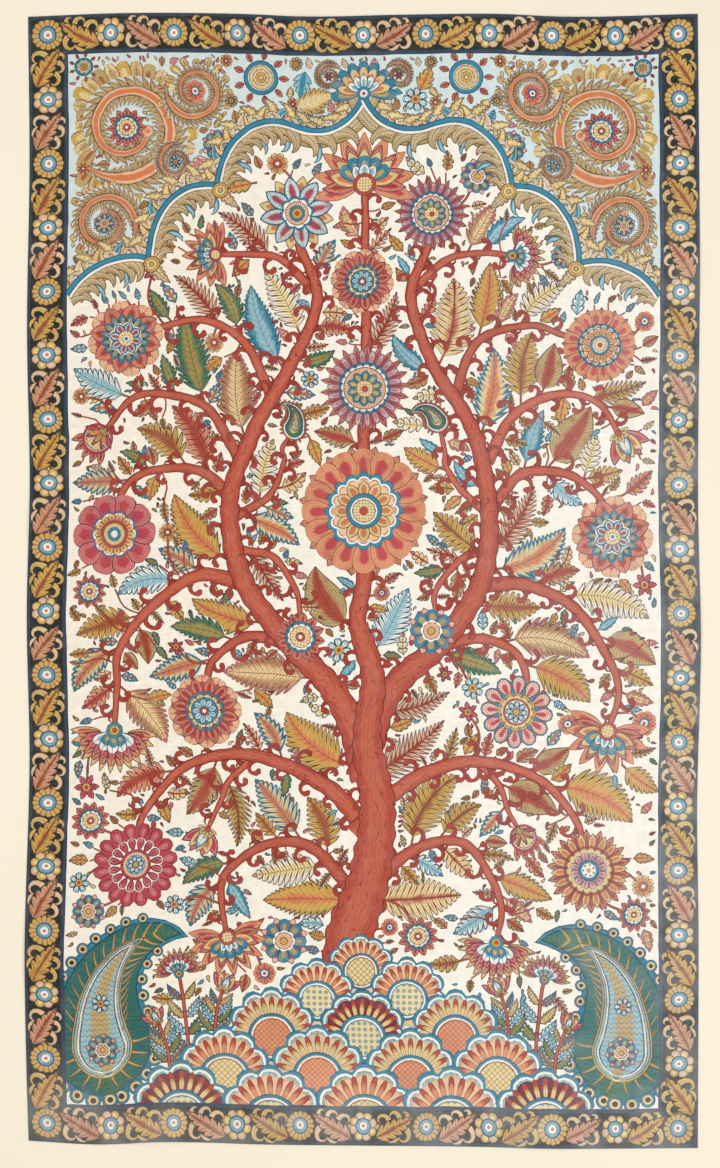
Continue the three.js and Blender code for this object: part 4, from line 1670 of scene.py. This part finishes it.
# what is painted later keeps its place free of leaves
def takePlaces(limbs, heads):
    for line, start, end, _ in limbs:
        for (x, y), width in zip(line, limbWidths(line, start, end)):
            take(x, y, width + 2)
    for x, y, radius, kind, turn in heads:
        if kind in fanKinds:
            take(x + math.cos(turn) * radius * 0.35, y + math.sin(turn) * radius * 0.35, radius * 0.72)
            take(x, y, radius * 0.5)
        else:
            take(x, y, radius + 1)
    spine, widths = mangoLine(cornerMango["length"], cornerMango["width"], cornerMango["bend"])
    for mirror in (1, -1):
        for (x, y), width in zip(onCloth(cornerSpot(mirror), spine), widths):
            take(x, y, width + 9)
        for x, y, height, lean, _, radius in shrubs:
            line = onCloth(shrubSpot(x, y, mirror), bentSpine(height, lean, 6))
            for place in line[1:-1]:
                take(*place, 17)
            take(*line[-1], radius * 0.8)


# curls and hooks from both sides of a limb in turn
def limbCurls(line, start, end):
    side, step = normalsOf(line)
    widths = limbWidths(line, start, end)
    for k in range(3, len(line) - 2, 4):
        way = 1 if (k // 4) % 2 else -1
        place = line[k] + side[k] * way * widths[k] * 0.6
        heading = turnOf(step[k])
        long = hand.uniform(24, 38)
        bend = hand.choice([3.6, 4.4])
        curl(spotAt(*place, heading + way * 0.7, 1.0, way), long, 4.3, bend, "hook", 8)
        if k % 8 == 3:
            hook(spotAt(*place, heading + way * 1.0, 1.0, way), long * 0.6, 2.6, -2.4, "hook", 4)


# back to front: leaves, limbs with their curls, flower heads
def paintTree():
    limbs, heads = growLimbs()
    takePlaces(limbs, heads)
    paintAll(growLeaves(limbs))
    for line, start, end, name in sorted(limbs, key=lambda limb: limb[1]):
        if name != "trunk":
            limbCurls(line, start, end)
        widths = limbWidths(line, start, end) * (1 + 0.06 * np.sin(np.arange(len(line)) * 1.3))
        ribbon(home, line, widths, "bark" if start > 12 else "twig")
    for x, y, radius, kind, turn in heads:
        flower(spotAt(x, y, turn + (0 if kind in fanKinds else hand.uniform(-0.3, 0.3))), radius, kind)
    print("tree painted:", len(heads), "flower heads")


# leaves: pen, edge, half width as a share of the length
leafMix = [
    ("ochreLeaf", "oak", 0.26), ("goldFrond", "oak", 0.25), ("blueRimLeaf", "lobed", 0.25),
    ("goldLeaf", "toothed", 0.23), ("redFrond", "feather", 0.21), ("rustLeaf", "smooth", 0.26),
    ("ochreLeaf", "oak", 0.25), ("roseRimLeaf", "lobed", 0.24), ("oliveFrond", "oak", 0.26),
    ("goldLeaf", "lobed", 0.27), ("skyLeaf", "lobed", 0.24), ("rustLeaf", "lobed", 0.25),
    ("redLeaf", "oak", 0.24), ("goldFrond", "feather", 0.23), ("greenLeaf", "lobed", 0.21),
    ("paleLeaf", "oak", 0.22), ("blueRimLeaf", "toothed", 0.23), ("blueBlade", "toothed", 0.19),
]
fieldFill = {
    "flowers": ("smallWheel", "smallStar", "smallBlue", "smallGold"), "leaves": leafMix,
    "buds": ("goldLeaf", "redLeaf", "scrollGold", "blueBlade", "oliveLeaf", "scrollRose"),
    "smallest": 2.8, "leafRoom": 4.7, "flowerRoom": 12, "bigRoom": 20, "most": 1300,
}
bigKinds = ("middleWheel", "middleStar")
# lengths that are tried for the leaves along the limbs, in three rounds
leafSizes = ((124, 104, 88), (76, 66, 56, 48), (41, 35, 30, 26))


def drawSpray(x, y, turn, long, bend, mix):
    pen, edge, wide = mix
    spot = spotAt(x, y, turn)
    if edge == "feather":
        leaf(spot, long, long * wide, bend, pen, max(6, int(long / 7)), edge, 0.68)
        return
    if long > 44:
        ribbon(spot, bentSpine(long * 0.2, bend * 0.1, 2), 1.6, "twig")
    leaf(within(spot, long * 0.12, 0), long * 0.88, long * wide, bend, pen, max(4, int(long / 9)), edge)


# fills what room is left: flowers where it is wide, then leaves, then buds, with stems from the nearest limb
def fillGaps(places, inside, fill, lines=None):
    draws, stems = [], []
    rooms = np.array([min(inside(x, y), awayFrom(x, y)) for x, y in places])

    def crowd(x, y, radius, space):
        take(x, y, radius)
        close = np.hypot(*(places - (x, y)).T) < space + 60
        rooms[close] = np.minimum(rooms[close], np.hypot(*(places[close] - (x, y)).T) - radius)

    def nearest(place):
        near = lines[np.hypot(*(lines - place).T).argmin()]
        return near, place - near, math.hypot(*(place - near))

    for number in range(1, fill["most"] + 1):
        k = int(rooms.argmax())
        space = rooms[k]
        if space < fill["smallest"]:
            break
        x, y = places[k]
        turn = hand.uniform(0, math.tau)
        if lines is not None:
            near, gap, far = nearest(places[k])
            turn = turnOf(gap)
        radius = space * 0.96
        if space > fill["flowerRoom"] and number % 3:
            radius = min(radius, 34)
            kinds = bigKinds if space > fill["bigRoom"] else fill["flowers"]
            if lines is not None and far < 110:
                bow = hand.choice([-1, 1]) * far * 0.18
                middle = (near + places[k]) / 2 + np.array([-math.sin(turn), math.cos(turn)]) * bow
                stems.append((ribbon, home, smoothLine([near, middle, (x, y)], 7.0), 1.7, "twig"))
            draws.append((flower, spotAt(x, y, turn), radius, kinds[number % len(kinds)]))
        elif space > fill["leafRoom"]:
            tilt = turn + hand.uniform(-0.7, 0.7)
            ahead = np.array([math.cos(tilt), math.sin(tilt)])
            long = min(space * 3.6, 74)
            while long > space * 2:
                if min(inside(*(places[k] + ahead * long * way)) for way in (-0.5, 0.5)) >= -1:
                    break
                long *= 0.88
            root = places[k] - ahead * long / 2
            mix = fill["leaves"][number % len(fill["leaves"])]
            draws.append((drawSpray, *root, tilt, long, hand.uniform(-0.6, 0.6), mix))
            if lines is not None and space > 5.4:
                near, gap, far = nearest(root)
                if 6 < far < 62:
                    bow = hand.choice([-1, 1]) * 0.16
                    middle = (near + root) / 2 + np.array([-gap[1], gap[0]]) * bow
                    line = smoothLine([near, middle, root + ahead * 2], 9.0)
                    stems.append((ribbon, home, line, 1.15, "stem"))
            for push in (-0.8, 0.8):
                crowd(*(places[k] + ahead * space * push), space * 0.6, space)
        else:
            way = hand.choice([-1, 1])
            tilt = turn + hand.uniform(-0.5, 0.5)
            spot = spotAt(x - math.cos(tilt) * space * 0.9, y - math.sin(tilt) * space * 0.9, tilt, 1, way)
            pen = fill["buds"][number % len(fill["buds"])]
            draws.append((leaf, spot, space * 2.9, space * 0.62, 1.2, pen, 4, "smooth", 0.6))
        crowd(x, y, radius, space)
    return stems[::-1] + draws


# takes the place of the longest leaf that there is room for, and gives its length
def roomyLeaf(spot, bend, sizes, wide):
    for long in sizes:
        places = onCloth(spot, bentSpine(long, bend, 8))
        radii = (long * wide * 0.7, long * wide * 0.75, long * wide * 0.5, 1)
        if all(min(inField(*place), awayFrom(*place)) > r for place, r in zip(places[[3, 5, 6, 8]], radii)):
            for place in places[2:]:
                take(*place, long * wide * 0.7)
            return long
    return 0


# leaves along every limb where there is room, then sprigs into the gaps that are left
def growLeaves(limbs):
    sprays, number = [], 0
    branches = [limb[:3] for limb in limbs if limb[3] != "trunk"]
    for sizes in leafSizes:
        for line, start, end in branches:
            side, step = normalsOf(line)
            widths = limbWidths(line, start, end)
            for k in range(2, len(line) - 1, 2):
                for way in (1, -1):
                    number += 1
                    turn = turnOf(step[k]) + way * hand.uniform(0.6, 1.2)
                    bend = -way * hand.uniform(-0.5, 1.0)
                    x, y = line[k] + side[k] * way * widths[k] * 0.6
                    mix = leafMix[(number * 7) % len(leafMix)]
                    long = roomyLeaf(spotAt(x, y, turn), bend, sizes, mix[2])
                    if long:
                        sprays.append((drawSpray, x, y, turn, long, bend, mix))
    places = np.array([(x, y) for x in np.arange(-398, 399, 6.5) for y in np.arange(-706, 640, 6.5)])
    sprays += fillGaps(places, inField, fieldFill, np.concatenate([line for line, *_ in limbs]))
    print("leaves and sprigs:", len(sprays))
    return sprays


paintTree()
paintMound()
paintArch()
paintBorder(paintedCotton)


# the plain floor under the cloth
floorPiece = {"size": 9.0, "color": (0.906, 0.818, 0.658, 1.0), "drop": 0.0004, "roughness": 0.95, "gloss": 0.1}


def makeFloor():
    half = floorPiece["size"] / 2
    mesh = bpy.data.meshes.new("floor")
    mesh.from_pydata([(x, y, -floorPiece["drop"]) for x, y in cornersOf(half, half)], [], [(0, 1, 2, 3)])
    material = bpy.data.materials.new("floorPaint")
    material.use_nodes = True
    shader = material.node_tree.nodes["Principled BSDF"]
    for key, value in (("Base Color", "color"), ("Roughness", "roughness"), ("Specular IOR Level", "gloss")):
        shader.inputs[key].default_value = floorPiece[value]
    mesh.materials.append(material)
    return addObject("floor", mesh)


# soft studio light, a little stronger from the right: each lamp's place and power
studio = {
    "world": 0.53, "exposure": 0.0, "lampSize": 2.6,
    "lamps": {"keyLight": ((1.5, -0.9, 3.0), 51.0), "fillLight": ((-1.6, 0.9, 3.0), 39.0)},
}


def makeStudio():
    world = bpy.data.worlds.new("studio")
    world.use_nodes = True
    background = world.node_tree.nodes["Background"]
    background.inputs["Color"].default_value = (1, 1, 1, 1)
    background.inputs["Strength"].default_value = studio["world"]
    scene.world = world
    for name, (place, power) in studio["lamps"].items():
        light = bpy.data.lights.new(name, "AREA")
        light.energy = power
        light.size = studio["lampSize"]
        lamp = addObject(name, light)
        lamp.location = place
        lamp.rotation_euler = (-Vector(place)).to_track_quat("-Z", "Y").to_euler()
    scene.view_settings.view_transform = "Standard"
    scene.view_settings.exposure = studio["exposure"]


# straight above the cloth, as the photograph was taken
photoCamera = {"frameHigh": 1.5922, "lens": 85.0, "sensor": 36.0, "middle": (-0.00375, -0.00443), "clip": 50.0}


def makeCamera():
    lens = bpy.data.cameras.new("photoCamera")
    lens.lens = photoCamera["lens"]
    lens.sensor_width = photoCamera["sensor"]
    lens.clip_end = photoCamera["clip"]
    camera = addObject("photoCamera", lens)
    camera.location = (*photoCamera["middle"], photoCamera["frameHigh"] * lens.lens / lens.sensor_width)
    scene.camera = camera


makeStudio()
makeCamera()
floor = makeFloor()
cloth = makeCloth()
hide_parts("panel_cloth")
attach(cloth, "root")
